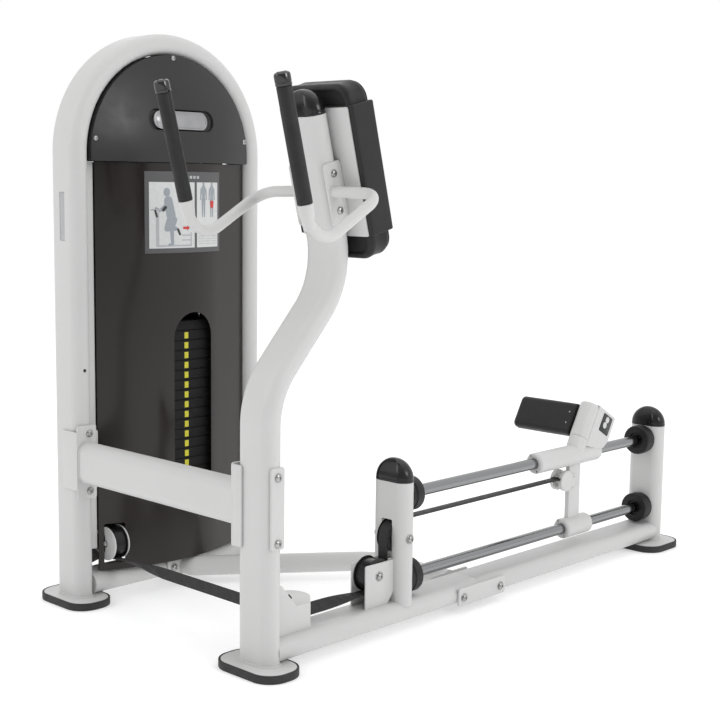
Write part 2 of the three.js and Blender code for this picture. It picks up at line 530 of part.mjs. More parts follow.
function belts() {
  const liftZ = [STACK_TOP + 26 + 38 + CLEAR, TOP_PULLEY_Z - CLEAR];
  beltPiece('belt_lift', liftZ.map(z => ({ p: V(STACK_X, STACK_Y, z), t: EZ, w: EY })));
  beltPiece('belt_run', beltRun());
  beltPiece('belt_press', [MID_X + 1, 1077].map(x => ({ p: V(x, 0, PRESS_Z), t: EX, w: EY })));
}

// ---------------------------------------------------------------- press carriage and foot pad
const stubDir = V(Math.sin(STUB_TILT), 0, Math.cos(STUB_TILT));
const stubOut = V(Math.cos(STUB_TILT), 0, -Math.sin(STUB_TILT));
const onStub = (p, y, s) => V(STUB_X, y, ROD_UP_Z).addScaledVector(stubOut, p).addScaledVector(stubDir, s);

function carriage() {
  const sleeve = (x0, x1, z) =>
    turned([[0, 24], [2.5, 27.5], [x1 - x0 - 4, 27.5], [x1 - x0, 23.5]], V(x0, 0, z), EX, { n: 32 });
  const link = box(1115, 1166, -6.4, 6.4, ROD_LOW_Z, ROD_UP_Z);
  const stub = disc(onStub(0, 0, 0), stubDir, 0, JOINT_S, STUB_R, 32);
  const clampBody = disc(V(1089, 0, 250), EY, -20, 20, 28, 28);
  const clampSlot = box(1050, 1078, -15.5, 15.5, PRESS_Z - 3.5, PRESS_Z + 3.5);
  const boss = turned([[0, 19], [5, 19], [7, 16]], V(1134, -6, 240), V(0, -1, 0), { n: 24 });
  const bores = [ROD_UP_Z, ROD_LOW_Z].map(z => disc(V(900, 0, z), EX, 0, 400, ROD_R + CLEAR, 28));
  const sleeves = [sleeve(962, 1240, ROD_UP_Z), sleeve(1094, 1205, ROD_LOW_Z)];
  // block that backs the swivel tube and runs down to the end of the upper sleeve
  const blockTop = HEAD_TOP_S + 4;
  const block = alongStub([[26.8, 20], [80, 52], [89, 60], [100, 82], [99, 108], [99, blockTop - 4],
    [95, blockTop], [26.8, blockTop]]);
  const whole = fuse(...sleeves, link, stub, block, clampBody, boss);
  part('carriage_frame', cut(whole, clampSlot, ...bores), paint);

  part('foot_pad_head', disc(onStub(0, 0, 0), stubDir, JOINT_S + CLEAR, HEAD_TOP_S, 26, 32), paint);
  part('foot_pad', footPad(), vinyl);
}

// tube-wide prism whose outline lies in the stub's plane
function alongStub(side) {
  return loft([-25.5, 25.5].map(y => side.map(([p, s]) => onStub(p, y, s))));
}

function footPad() {
  const loop = (y, inset) =>
    ring(roundRect(18 - inset, 46 - inset, 14 - inset * 0.6, 4), onStub(-6, y, 96), stubOut, stubDir);
  return loft([loop(26 + CLEAR, 0), loop(206, 0), loop(211, 3), loop(214, 8)]);
}

// ---------------------------------------------------------------- chest pad, handles and grips
const gripFoot = (s) => V(-49.6, s * HANDLE_Y, 994);        // lower end of a grip on side s

function handleFrame() {
  const earIn = TUBE_W / 2 + CLEAR, earOut = earIn + WALL;
  const leaning = (c) => (y, s) => onLean(c, y, s);
  const web = slab([-98, 98], [838, 1114], leaning(PAD_BACK), leaning(PAD_BACK + 4));
  const ears = [-1, 1].map(s =>
    slab([s * earIn, s * earOut], [870, 1006], leaning(390), leaning(PAD_BACK + 1)));
  const heads = [-1, 1].flatMap(s =>
    [981.5, 901.6].map(q => boltHead(onLean(415, s * earOut, q), V(0, s, 0))));
  const bars = [-1, 1].map(s => {
    const top = gripFoot(s).addScaledVector(leanUp, -3);
    const pts = [V(157, s * 52, 1016), V(168, s * HANDLE_Y, 1013), V(-25.4, s * HANDLE_Y, 900), top];
    return sweep(circle(HANDLE_R, 14), filleted(pts, [44, 56], 6), EZ);
  });
  part('handle_frame', fuse(web, ...ears, ...heads, ...bars), paint);
  for (const [side, s] of [['near', -1], ['far', 1]]) {
    part(`grip_${side}`,
      turned([[0, 14], [1.5, GRIP_R], [228, GRIP_R], [229, 14]], gripFoot(s), leanUp), rubber);
    part(`grip_cap_${side}`, turned([[229.3, 15], [230, 16.2], [249, 16.2], [253, 13.5], [255.5, 6]],
      gripFoot(s), leanUp), chrome);
  }
}

function chestPad() {
  const s0 = 785, mid = s0 + PAD_LEN / 2, c0 = PAD_BACK + 4 + CLEAR;
  const loop = (hy, hs, r, c) => ring(roundRect(hy, hs, r, 6), onLean(c, 0, mid), EY, leanUp);
  const core = loft([loop(PAD_HALF - 3, PAD_LEN / 2 - 3, 38, c0), loop(PAD_HALF, PAD_LEN / 2, 40, c0 + 3),
    loop(PAD_HALF, PAD_LEN / 2, 40, c0 + PAD_T - 12), loop(PAD_HALF - 4, PAD_LEN / 2 - 4, 37, c0 + PAD_T - 3),
    loop(PAD_HALF - 12, PAD_LEN / 2 - 12, 30, c0 + PAD_T)]);
  const bandMid = onLean(c0, 0, 977.5);
  const bandLoop = (hy, hs, c) =>
    ring(roundRect(hy, hs, 3, 2), bandMid.clone().addScaledVector(leanBack, c), EY, leanUp);
  const band = loft([bandLoop(110, 139, 0), bandLoop(110, 139, 64), bandLoop(106, 136, 70)]);
  part('chest_pad', fuse(core, band), vinyl);
}

userColumn();
baseBeam();
posts();
guideRods();
tie();
tower();
brace();
shrouds();
covers();
trim();
weightStack();
wheels();
wheelMounts();
belts();
carriage();
handleFrame();
chestPad();

// the frame's origin is on the floor under the middle of the whole machine
const bounds = new THREE.Box3().setFromObject(group);
const shift = V(-(bounds.min.x + bounds.max.x) / 2, -(bounds.min.y + bounds.max.y) / 2, -bounds.min.z);
for (const mesh of group.children) mesh.geometry.translate(shift.x, shift.y, shift.z);

export default group;
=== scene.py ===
"""Looks of a standing single-leg press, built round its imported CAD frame.

Every shape is worked out in millimetres in the machine's own axes: the origin is on the floor under the
user's column, X runs along the base beam to the rear post and Y runs to the weight tower.
"""

import json
import math

import bmesh
import bpy
import numpy as np
from mathutils import Matrix, Vector


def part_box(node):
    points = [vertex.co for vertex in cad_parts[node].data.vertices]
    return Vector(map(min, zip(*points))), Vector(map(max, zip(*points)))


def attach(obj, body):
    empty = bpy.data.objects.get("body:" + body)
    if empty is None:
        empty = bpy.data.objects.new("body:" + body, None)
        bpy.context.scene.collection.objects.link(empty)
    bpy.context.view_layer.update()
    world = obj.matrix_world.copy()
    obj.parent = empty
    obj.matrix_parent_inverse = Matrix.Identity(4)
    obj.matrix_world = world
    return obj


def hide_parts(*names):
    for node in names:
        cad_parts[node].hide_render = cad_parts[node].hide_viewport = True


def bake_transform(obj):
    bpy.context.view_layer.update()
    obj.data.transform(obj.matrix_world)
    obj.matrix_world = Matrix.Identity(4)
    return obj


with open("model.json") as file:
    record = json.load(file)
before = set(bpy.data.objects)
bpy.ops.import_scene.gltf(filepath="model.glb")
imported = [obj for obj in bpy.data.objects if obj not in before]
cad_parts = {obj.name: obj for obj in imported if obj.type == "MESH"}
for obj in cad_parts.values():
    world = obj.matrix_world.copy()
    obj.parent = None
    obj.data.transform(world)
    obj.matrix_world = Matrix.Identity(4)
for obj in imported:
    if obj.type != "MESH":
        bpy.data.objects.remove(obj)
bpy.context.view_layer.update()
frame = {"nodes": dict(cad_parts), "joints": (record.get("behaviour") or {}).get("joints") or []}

# ------------------------------------------------------------------ driving dimensions, millimetres
TUBE_W, TUBE_T = 101.6, 50.8                       # flat-oval frame tube
CLEAR = 0.3                                        # air gap between touching parts
beam_low, beam_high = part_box("beam_front")
ORIGIN = Vector((beam_low.x - (TUBE_T / 2 + CLEAR) / 1000, (beam_low.y + beam_high.y) / 2, 0))


def node_mm(node):
    """Lowest and highest corner of a CAD node, in the machine's own millimetres."""
    return [np.array((p - ORIGIN) * 1000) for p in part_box(node)]


BEAM_Z = (beam_low.z + beam_high.z) * 500
BEAM_TOP = beam_high.z * 1000
SPLICE_X = node_mm("beam_rear")[0][0]
MID_X = node_mm("mid_post_cap")[0][0] + TUBE_T / 2
REAR_X = node_mm("rear_post_cap")[0][0] + TUBE_T / 2
POST_TOP = node_mm("rear_post")[1][2]
FOOT_H = node_mm("column_foot_rubber")[1][2]
DOME_H = node_mm("rear_post_cap")[1][2] - POST_TOP
TOWER_Y = (node_mm("tower_arch")[0][1] + node_mm("tower_arch")[1][1]) / 2
TOWER_X = node_mm("tower_arch")[1][0] - TUBE_T / 2
ARCH_R = TOWER_X / 2
ARCH_X = TOWER_X / 2
ARCH_Z = node_mm("tower_arch")[1][2] - TUBE_T / 2 - ARCH_R
ARCH_IN = ARCH_R - TUBE_T / 2
LEAN = math.radians(14.5)                          # backward lean of the pad and the column's top
COLUMN = [(0, 596), (213, 833), (124.5, 1175)]     # column's bends and end, X and Z
ROD_R, ROD_UP_Z, ROD_LOW_Z = 14.3, 312.4, 115.1
UPPER_SLEEVE, LOWER_SLEEVE = (962, 1240), (1094, 1205)
CLAMP_X, CLAMP_Z = 1089, 250                       # middle of the belt clamp's drum
BUMPER_R, BUMPER_T = 41, 38
TIE_Z = 356.9
BRACE_X0, BRACE_X1 = 306, 690                      # brace's ends at the tower and at the beam
SHROUD_R, SHROUD_T = 425, 3                        # bow radius and thickness
SHROUD_BEND = 125                                  # past this distance from its middle it is straight
SHROUD_FRONT = node_mm("front_shroud")[0][1]
SHROUD_X0, SHROUD_X1 = node_mm("front_shroud")[0][0], node_mm("front_shroud")[1][0]
SHROUD_Z0, SHROUD_Z1 = node_mm("front_shroud")[0][2], node_mm("front_shroud")[1][2]
COVER_Z0 = node_mm("front_cover")[0][2]
SKIRT_D = 24                                       # how far the cover's rim reaches back
WINDOW_R, WINDOW_TOP, WINDOW_LOW = 64, 642, 225    # half width, centre of the round top, and lower end
STACK_X, PITCH, STACK_TOP, PLATES, PICKED = 305, 25.4, 657, 18, 16
PLATE_W, PLATE_D, STACK_ROD_DX = 228, 116, 90
PULLEY_R, FLANGE_R, BELT_R = 36, 41, 37.5
BELT_W, BELT_T = 28, 2.4
BELT_X = 85                                         # the belt's way down from the top wheels to the low one
LOW_WHEEL_Z, MID_LOW_X, MID_UP_Z = 140, 347, 219   # wheel centres
PRESS_Z = node_mm("belt_press")[0][2] + BELT_T / 2
STUB_X, STUB_TILT, JOINT_S, HEAD_S = 1138, math.radians(30), 50, 150
HANDLE_Y, HANDLE_R, GRIP_R, GRIP_L = 181.5, 12, 15.5, 228
PAD_BACK, PAD_T, PAD_MID, PAD_HALF, PAD_HALF_L = 445.1, 66, 973.5, 102, 188.5
BAND_MID = 977.5                                   # middle of the wrapped band, along the lean
FACE = 14                                          # facets in a quarter turn of a frame tube


# ------------------------------------------------------------------ shape helpers
def vec(x, y, z):
    return np.array((x, y, z), float)


EX, EY, EZ = vec(1, 0, 0), vec(0, 1, 0), vec(0, 0, 1)


def unit(v):
    return np.asarray(v, float) / np.linalg.norm(v)


def arc(a, b, n):
    return np.linspace(a, b, n + 1)


def circle(r, n=48):
    return [(r * math.cos(t), r * math.sin(t)) for t in arc(0, 2 * math.pi, n)[:-1]]


def round_rect(hx, hy, r, n=8):
    """Rectangle with rounded corners; a flat-oval section is one with r equal to its half thickness."""
    out = []
    for k, (sx, sy) in enumerate([(1, 1), (-1, 1), (-1, -1), (1, -1)]):
        for t in arc(k * math.pi / 2, (k + 1) * math.pi / 2, n):
            p = (sx * (hx - r) + r * math.cos(t), sy * (hy - r) + r * math.sin(t))
            if not out or math.dist(out[-1], p) > 1e-3:
                out.append(p)
    if math.dist(out[0], out[-1]) < 1e-3:
        out.pop()
    return out


def oval(w=TUBE_W, t=TUBE_T, n=FACE):
    return round_rect(w / 2, t / 2, min(w, t) / 2, n)


def ring(section, o, u, v):
    return [o + a * u + b * v for a, b in section]


def loft(rings, closed=False):
    """Skin over equal-length loops, capped at both ends unless it closes on itself."""
    n, m = len(rings[0]), len(rings)
    faces = []
    for k in range(m if closed else m - 1):
        k2 = (k + 1) % m
        for i in range(n):
            j = (i + 1) % n
            faces.append((k * n + i, k * n + j, k2 * n + j, k2 * n + i))
    if not closed:
        faces.append(tuple(range(n))[::-1])
        faces.append(tuple((m - 1) * n + i for i in range(n)))
    return [p for r in rings for p in r], faces


def join(*geos):
    verts, faces = [], []
    for v, f in geos:
        faces += [tuple(i + len(verts) for i in face) for face in f]
        verts += list(v)
    return verts, faces


def turn_about(v, axis, angle):
    return np.array(Matrix.Rotation(angle, 3, Vector(axis)) @ Vector(v))


def filleted(points, radii, seg=20):
    """Polyline with its inner corners replaced by arcs, as (point, direction) stations."""
    pts = [np.asarray(p, float) for p in points]
    out = [(pts[0], unit(pts[1] - pts[0]))]
    for i, r in enumerate(radii, 1):
        a, b = unit(pts[i - 1] - pts[i]), unit(pts[i + 1] - pts[i])
        half = math.acos(np.clip(a @ b, -1, 1)) / 2
        mid = pts[i] + unit(a + b) * r / math.sin(half)
        start = pts[i] + a * r / math.tan(half) - mid
        axis = -unit(np.cross(a, b))
        for s in arc(0, math.pi - 2 * half, seg):
            d = turn_about(start, axis, s)
            out.append((mid + d, unit(np.cross(axis, d))))
    out.append((pts[-1], unit(pts[-1] - pts[-2])))
    return out


def sweep(section, path, wide):
    u, rings = np.asarray(wide, float), []
    for p, t in path:
        u = unit(u - t * (u @ t))
        rings.append(ring(section, p, u, np.cross(t, u)))
    return loft(rings)


def tube(section, a, b, wide):
    a, b = np.asarray(a, float), np.asarray(b, float)
    return sweep(section, [(a, unit(b - a)), (b, unit(b - a))], wide)


def across(axis):
    """Two directions square to an axis and to each other."""
    u = EX if abs(axis[2]) > 0.9 else EZ
    u = unit(u - axis * (u @ axis))
    return u, np.cross(axis, u)


def turned(profile, o, axis, n=48, bore=False):
    """Solid of revolution from (distance along the axis, radius) pairs."""
    o, axis = np.asarray(o, float), unit(axis)
    u, w = across(axis)
    return loft([ring(circle(r, n), o + axis * s, u, w) for s, r in profile], bore)


def plate(hx, hy, r, depth, o, u, v, edge=1.0, n=6):
    """Flat plate with rounded corners and softened edges; it grows from o along u x v."""
    o, w = np.asarray(o, float), np.cross(u, v)
    rise = [(edge * (1 - math.cos(t)), edge * (1 - math.sin(t))) for t in arc(0, math.pi / 2, 3)]
    levels = rise + [(depth - s, inset) for s, inset in reversed(rise)]
    return loft([ring(round_rect(hx - i, hy - i, max(r - i, 0.2), n), o + w * s, u, v) for s, i in levels])


def prism(outline, depth, o, u, v):
    o, w = np.asarray(o, float), np.cross(u, v)
    return loft([ring(outline, o, u, v), ring(outline, o + w * depth, u, v)])


def slab(us, vs, front, back):
    """Closed sheet between two surfaces sampled on one grid."""
    nu, nv = len(us), len(vs)
    verts = [f(u, v) for f in (front, back) for u in us for v in vs]
    faces = []

    def at(s, i, j):
        return s * nu * nv + i * nv + j

    for i in range(nu - 1):
        for j in range(nv - 1):
            faces.append((at(0, i, j), at(0, i + 1, j), at(0, i + 1, j + 1), at(0, i, j + 1)))
            faces.append((at(1, i, j), at(1, i, j + 1), at(1, i + 1, j + 1), at(1, i + 1, j)))
    for i in range(nu - 1):
        for j in (0, nv - 1):
            faces.append((at(0, i, j), at(1, i, j), at(1, i + 1, j), at(0, i + 1, j)))
    for j in range(nv - 1):
        for i in (0, nu - 1):
            faces.append((at(0, i, j), at(0, i, j + 1), at(1, i, j + 1), at(1, i, j)))
    return verts, faces


def box(x0, x1, y0, y1, z0, z1):
    centre = vec((x0 + x1) / 2, (y0 + y1) / 2, z0)
    half = [((x1 - x0) / 2 * a, (y1 - y0) / 2 * b) for a, b in [(1, 1), (-1, 1), (-1, -1), (1, -1)]]
    return prism(half, z1 - z0, centre, EX, EY)


def to_frame(x, y, z):
    return ORIGIN + Vector((x, y, z)) / 1000


def to_mesh(name, geo):
    verts, faces = geo
    mesh = bpy.data.meshes.new(name)
    mesh.from_pydata([to_frame(*v) for v in verts], [], faces)
    return mesh


def finish_mesh(mesh, bevel, steps, sharp):
    """Merges doubles, turns faces out, rounds the hard edges and shades what is left smooth."""
    bm = bmesh.new()
    bm.from_mesh(mesh)
    bmesh.ops.remove_doubles(bm, verts=bm.verts, dist=2e-6)
    bmesh.ops.recalc_face_normals(bm, faces=bm.faces)
    if bevel:
        hard = [e for e in bm.edges if len(e.link_faces) == 2 and e.calc_face_angle(0) > math.radians(40)]
        bmesh.ops.bevel(bm, geom=hard, offset=bevel / 1000, segments=steps, profile=0.5, affect="EDGES",
                        clamp_overlap=True)
    bm.to_mesh(mesh)
    bm.free()
    mesh.shade_smooth()
    mesh.set_sharp_from_angle(angle=math.radians(sharp))


def add_object(name, data):
    obj = bpy.data.objects.new(name, data)
    bpy.context.scene.collection.objects.link(obj)
    return obj


def carve(obj, cutters):
    """Cuts closed shapes out of an object's mesh for good."""
    for k, geo in enumerate(cutters):
        mesh = to_mesh(f"cutter_{k}", geo)
        finish_mesh(mesh, 0, 1, 30)
        tool = add_object(f"cutter_{k}", mesh)
        mod = obj.modifiers.new("cut", "BOOLEAN")
        mod.object, mod.operation, mod.solver = tool, "DIFFERENCE", "EXACT"
        result = obj.evaluated_get(bpy.context.evaluated_depsgraph_get())
        obj.data = bpy.data.meshes.new_from_object(result)
        obj.modifiers.clear()
        bpy.data.objects.remove(tool)


def make(name, geo, finish, body="frame", replaces=(), bevel=0.0, steps=2, sharp=32, cuts=()):
    """One finished piece: mesh, cuts, softened edges, material and body."""
    mat, slot = finish
    obj = add_object(name, to_mesh(name, geo))
    if cuts:
        finish_mesh(obj.data, 0, 1, sharp)
        carve(obj, cuts)
    finish_mesh(obj.data, bevel, steps, sharp)
    obj.data.materials.clear()
    obj.data.materials.append(mat)
    if body:
        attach(obj, body)
    if replaces:
        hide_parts(*replaces)
    return obj


# ------------------------------------------------------------------ materials
class Look:
    """A principled material with a few procedural layers."""

    def __init__(self, name, color, rough, metal=0.0, **sockets):
        self.mat = bpy.data.materials.new(name)
        self.mat.use_nodes = True
        self.tree = self.mat.node_tree
        self.bsdf = self.tree.nodes["Principled BSDF"]
        self.color, self.rough = color, rough
        self.set("Base Color", (*color, 1))
        self.set("Roughness", rough)
        self.set("Metallic", metal)
        for socket, value in sockets.items():
            self.set(socket.replace("_", " ").title().replace("Ior", "IOR"), value)
        self.coords = self.tree.nodes.new("ShaderNodeTexCoord").outputs["Object"]
        self.normal = None

    def set(self, socket, value):
        self.bsdf.inputs[socket].default_value = value

    def link(self, a, b):
        self.tree.links.new(a, b)

    def placed(self, stretch):
        if stretch == (1, 1, 1):
            return self.coords
        node = self.tree.nodes.new("ShaderNodeMapping")
        node.inputs["Scale"].default_value = stretch
        self.link(self.coords, node.inputs["Vector"])
        return node.outputs["Vector"]

    def noise(self, scale, detail=3.0, stretch=(1, 1, 1)):
        node = self.tree.nodes.new("ShaderNodeTexNoise")
        node.inputs["Scale"].default_value = scale
        node.inputs["Detail"].default_value = detail
        self.link(self.placed(stretch), node.inputs["Vector"])
        return node.outputs["Fac"]

    def cells(self, scale):
        node = self.tree.nodes.new("ShaderNodeTexVoronoi")
        node.feature = "SMOOTH_F1"
        node.inputs["Scale"].default_value = scale
        self.link(self.coords, node.inputs["Vector"])
        return node.outputs["Distance"]

    def mapped(self, fac, low, high, from_low=0.3, from_high=0.7):
        node = self.tree.nodes.new("ShaderNodeMapRange")
        values = {"From Min": from_low, "From Max": from_high, "To Min": low, "To Max": high}
        for socket, value in values.items():
            node.inputs[socket].default_value = value
        self.link(fac, node.inputs["Value"])
        return node.outputs["Result"]

    def edges(self):
        """1 on worn convex edges, 0 elsewhere."""
        node = self.tree.nodes.new("ShaderNodeNewGeometry")
        return self.mapped(node.outputs["Pointiness"], 0.0, 1.0, 0.51, 0.56)

    def tint(self, fac, other, share=1.0):
        """Mixes the base colour towards another where fac is high."""
        node = self.tree.nodes.new("ShaderNodeMix")
        node.data_type = "RGBA"
        old = self.bsdf.inputs["Base Color"]
        if old.links:
            self.link(old.links[0].from_socket, node.inputs["A"])
        else:
            node.inputs["A"].default_value = (*self.color, 1)
        node.inputs["B"].default_value = (*other, 1)
        self.link(self.mapped(fac, 0.0, share), node.inputs["Factor"])
        self.link(node.outputs["Result"], old)
        return self

    def scuffed(self, fac, spread):
        self.link(self.mapped(fac, self.rough - spread, self.rough + spread), self.bsdf.inputs["Roughness"])
        return self

    def bump(self, fac, height_mm, strength=0.5):
        node = self.tree.nodes.new("ShaderNodeBump")
        node.inputs["Strength"].default_value = strength
        node.inputs["Distance"].default_value = height_mm / 1000
        self.link(fac, node.inputs["Height"])
        if self.normal:
            self.link(self.normal, node.inputs["Normal"])
        self.normal = node.outputs["Normal"]
        self.link(self.normal, self.bsdf.inputs["Normal"])
        return self


def powder_coat():
    look = Look("powder_coat", (0.6, 0.6, 0.597), 0.42, specular_ior_level=0.35)
    look.tint(look.noise(5.0, 2), (0.585, 0.585, 0.58)).scuffed(look.noise(55, 4), 0.05)
    look.tint(look.noise(1500, 1), (0.57, 0.57, 0.565), 0.5)
    look.bump(look.noise(700, 2), 0.12, 0.22)
    return look.mat


def gloss_moulding():
    look = Look("gloss_moulding", (0.009, 0.009, 0.01), 0.2, specular_ior_level=0.42)
    look.scuffed(look.noise(40, 5), 0.07).tint(look.noise(18, 3), (0.013, 0.013, 0.014))
    look.bump(look.noise(260, 3), 0.08, 0.25)
    return look.mat


def cover_moulding():
    look = Look("cover_moulding", (0.016, 0.016, 0.0163), 0.36, specular_ior_level=0.42)
    look.scuffed(look.noise(30, 4), 0.05).tint(look.noise(7, 3), (0.02, 0.02, 0.02))
    look.bump(look.cells(850), 0.05, 0.2)
    return look.mat


def smoked_sheet():
    look = Look("smoked_sheet", (0.014, 0.0105, 0.0092), 0.2, specular_ior_level=0.36)
    look.scuffed(look.noise(9, 3, (1, 1, 0.25)), 0.05)
    look.tint(look.noise(3.2, 2, (1, 1, 0.3)), (0.019, 0.0155, 0.014))
    look.bump(look.noise(9, 1, (1, 1, 0.3)), 2.0, 0.22)
    return look.mat


def moulded_rubber(name, color, rough, grain):
    look = Look(name, color, rough, specular_ior_level=0.3)
    look.scuffed(look.noise(70, 5), 0.08).tint(look.noise(25, 4), tuple(c * 1.4 for c in color))
    look.bump(look.noise(grain, 3), 0.15, 0.35)
    return look.mat


def upholstery():
    look = Look("upholstery", (0.013, 0.013, 0.0133), 0.5, sheen_weight=0.06, specular_ior_level=0.28)
    look.scuffed(look.noise(45, 4), 0.07).tint(look.noise(9, 4), (0.017, 0.017, 0.0173))
    look.bump(look.cells(620), 0.22, 0.35).bump(look.noise(170, 3), 0.12, 0.3)
    return look.mat


def hard_chrome():
    # The low base colour is painted dim reflection: it makes the chrome look as if it mirrored darker
    # surroundings.
    look = Look("hard_chrome", (0.27, 0.275, 0.28), 0.14, 1.0)
    look.scuffed(look.noise(30, 4, (0.05, 1, 1)), 0.05)
    look.bump(look.noise(420, 2, (0.02, 1, 1)), 0.03, 0.2)
    return look.mat


def turned_steel():
    look = Look("turned_steel", (0.46, 0.465, 0.46), 0.27, 1.0)
    look.scuffed(look.noise(180, 4), 0.08).tint(look.noise(60, 3), (0.34, 0.34, 0.335))
    look.bump(look.noise(900, 2), 0.03, 0.25)
    return look.mat


def dark_chrome():
    # The near-black base colour is painted dark reflection: it stands in for dark surroundings mirrored in
    # the grip caps.
    look = Look("dark_chrome", (0.07, 0.07, 0.072), 0.13, 1.0)
    look.scuffed(look.noise(90, 3), 0.04)
    return look.mat


def cast_plate():
    look = Look("cast_plate", (0.006, 0.006, 0.006), 0.55, specular_ior_level=0.15)
    look.scuffed(look.noise(80, 4), 0.1).tint(look.edges(), (0.02, 0.02, 0.02), 0.5)
    look.bump(look.noise(500, 3), 0.2, 0.4)
    return look.mat


def drive_belt():
    look = Look("drive_belt", (0.022, 0.022, 0.022), 0.6, specular_ior_level=0.3)
    look.scuffed(look.noise(60, 4), 0.08).tint(look.noise(240, 3), (0.034, 0.034, 0.034))
    look.bump(look.noise(1200, 2), 0.1, 0.4)
    return look.mat


def printed(name, color, rough=0.45):
    look = Look(name, color, rough)
    look.tint(look.noise(120, 3), tuple(c * 0.93 for c in color)).scuffed(look.noise(50, 3), 0.05)
    return look.mat


def badge_metal():
    look = Look("badge_metal", (0.36, 0.36, 0.37), 0.34, 0.8)
    look.scuffed(look.noise(300, 3, (1, 1, 0.04)), 0.08).tint(look.noise(30, 2), (0.31, 0.31, 0.32))
    return look.mat


# Each finish is a material and the slot that it stands for.
PAINT = powder_coat(), "frame_paint"
GLOSS = gloss_moulding(), "gloss_black"
COVER = cover_moulding(), "gloss_black"
SMOKED = smoked_sheet(), "smoked"
SHOE = moulded_rubber("shoe_rubber", (0.026, 0.026, 0.026), 0.6, 500), "rubber"
GRIP = moulded_rubber("grip_rubber", (0.016, 0.016, 0.016), 0.55, 900), "rubber"
BUFFER = moulded_rubber("buffer_rubber", (0.009, 0.009, 0.009), 0.42, 350), "rubber"
NYLON = moulded_rubber("wheel_nylon", (0.009, 0.009, 0.009), 0.32, 260), "wheel"
VINYL = upholstery(), "vinyl"
CHROME = hard_chrome(), "chrome"
STEEL = turned_steel(), "chrome"
CHROME_PAINTED_DARK = dark_chrome(), "chrome"
PLATE = cast_plate(), "stack_black"
BELT = drive_belt(), "belt"
YELLOW = printed("label_yellow", (0.62, 0.58, 0.03)), "pin_yellow"
BORDER = printed("placard_border", (0.085, 0.085, 0.088)), "placard_grey"
PAPER = printed("placard_white", (0.62, 0.63, 0.63)), "placard_grey"
FIGURE = printed("placard_figure", (0.3, 0.33, 0.36)), "placard_grey"
LINE = printed("placard_line", (0.42, 0.43, 0.44)), "placard_grey"
INK = printed("placard_ink", (0.03, 0.03, 0.03)), "placard_grey"
RED = printed("placard_red", (0.55, 0.03, 0.03)), "placard_grey"
BADGE = badge_metal(), "badge_silver"


# ------------------------------------------------------------------ repeated hardware
def bolt(name, o, out, r=9.5, body="frame", washer=True):
    """Domed button-head screw with a hexagon socket, on a thin washer."""
    o, out = np.asarray(o, float), unit(out)
    u, w = across(out)
    n = 36

    def hexagon(apothem):
        points = []
        for t in arc(0, 2 * math.pi, n)[:-1]:
            reach = apothem / math.cos((t % (math.pi / 3)) - math.pi / 6)
            points.append((reach * math.cos(t), reach * math.sin(t)))
        return points

    base = 1.6 if washer else 0.0
    height = 0.55 * r
    rings = [ring(circle(r, n), o + out * (base - 0.8), u, w),
             ring(circle(r, n), o + out * (base + 0.8), u, w)]
    for t in arc(0.15, 1.1, 7):
        rings.append(ring(circle(r * math.cos(t), n), o + out * (base + 0.8 + height * math.sin(t)), u, w))
    top = base + 0.8 + height * math.sin(1.1)
    rings.append(ring(hexagon(0.36 * r), o + out * (top - 0.1), u, w))
    rings.append(ring(hexagon(0.33 * r), o + out * (top - 0.5 * height), u, w))
    geo = loft(rings)
    if washer:
        ring_profile = [(-0.5, r + 2.6), (base - 0.3, r + 2.6), (base, r + 2.2), (base, r * 0.5),
                        (-0.5, r * 0.5)]
        geo = join(geo, turned(ring_profile, o, out, n, bore=True))
    return make(name, geo, STEEL, body)


def dome(name, o, axis, node):
    """Glossy moulded cap pushed into the end of a frame tube."""
    side = np.cross(axis, EY)

    def loop(h, s, grow=1.0):
        section = oval(TUBE_W + grow, TUBE_T + grow - 1)
        return ring([(a * s, b * s) for a, b in section], o + axis * h, EY, side)

    collar = [loop(CLEAR, 1, 0.4), loop(CLEAR + 0.5, 1), loop(4.4, 1), loop(5, 1, 0.5)]
    rise = [loop(5 + (DOME_H - 5) * math.sin(t), math.cos(t), 0.2)
            for t in arc(0.02, math.pi / 2 - 0.03, 22)]
    make(name, loft(collar + rise), GLOSS, replaces=[node], sharp=50)


def foot(name, x, y, hx=57.8, hy=96):
    """Rubber shoe with the steel foot plate lying in its recess."""
    corner, rim, floor = 50, 4.5, 12.5

    def loop(inset, z):
        return ring(round_rect(hx - inset, hy - inset, corner - inset, 14), vec(x, y, z), EX, EY)

    shoe = [loop(2, 0), loop(0.6, 0.5), loop(0, 2), loop(0, FOOT_H - 1.6), loop(0.5, FOOT_H - 0.5),
            loop(1.4, FOOT_H), loop(rim - 0.8, FOOT_H), loop(rim, FOOT_H - 0.8), loop(rim, floor)]
    make(f"{name}_shoe", loft(shoe), SHOE, replaces=[f"{name}_foot_rubber"])
    gap = rim + CLEAR
    steel = [loop(gap, floor + CLEAR), loop(gap, FOOT_H - 1.5), loop(gap + 0.5, FOOT_H - 0.5),
             loop(gap + 1.6, FOOT_H), loop(gap + 4, FOOT_H + 0.05)]
    make(f"{name}_sole_plate", loft(steel), PAINT, replaces=[f"{name}_foot_plate"])


def weld(name, section, o, u, v, r=2.6, body="frame"):
    """Fillet bead laid round a tube where it meets a plate."""
    line = ring(section, np.asarray(o, float), u, v)
    w, n = np.cross(u, v), len(line)
    rings = []
    for i, p in enumerate(line):
        t = unit(line[(i + 1) % n] - line[i - 1])
        out = unit(np.cross(t, w))
        rings.append(ring(circle(r, 8), p, out, w))
    make(name, loft(rings, closed=True), PAINT, body, sharp=80)


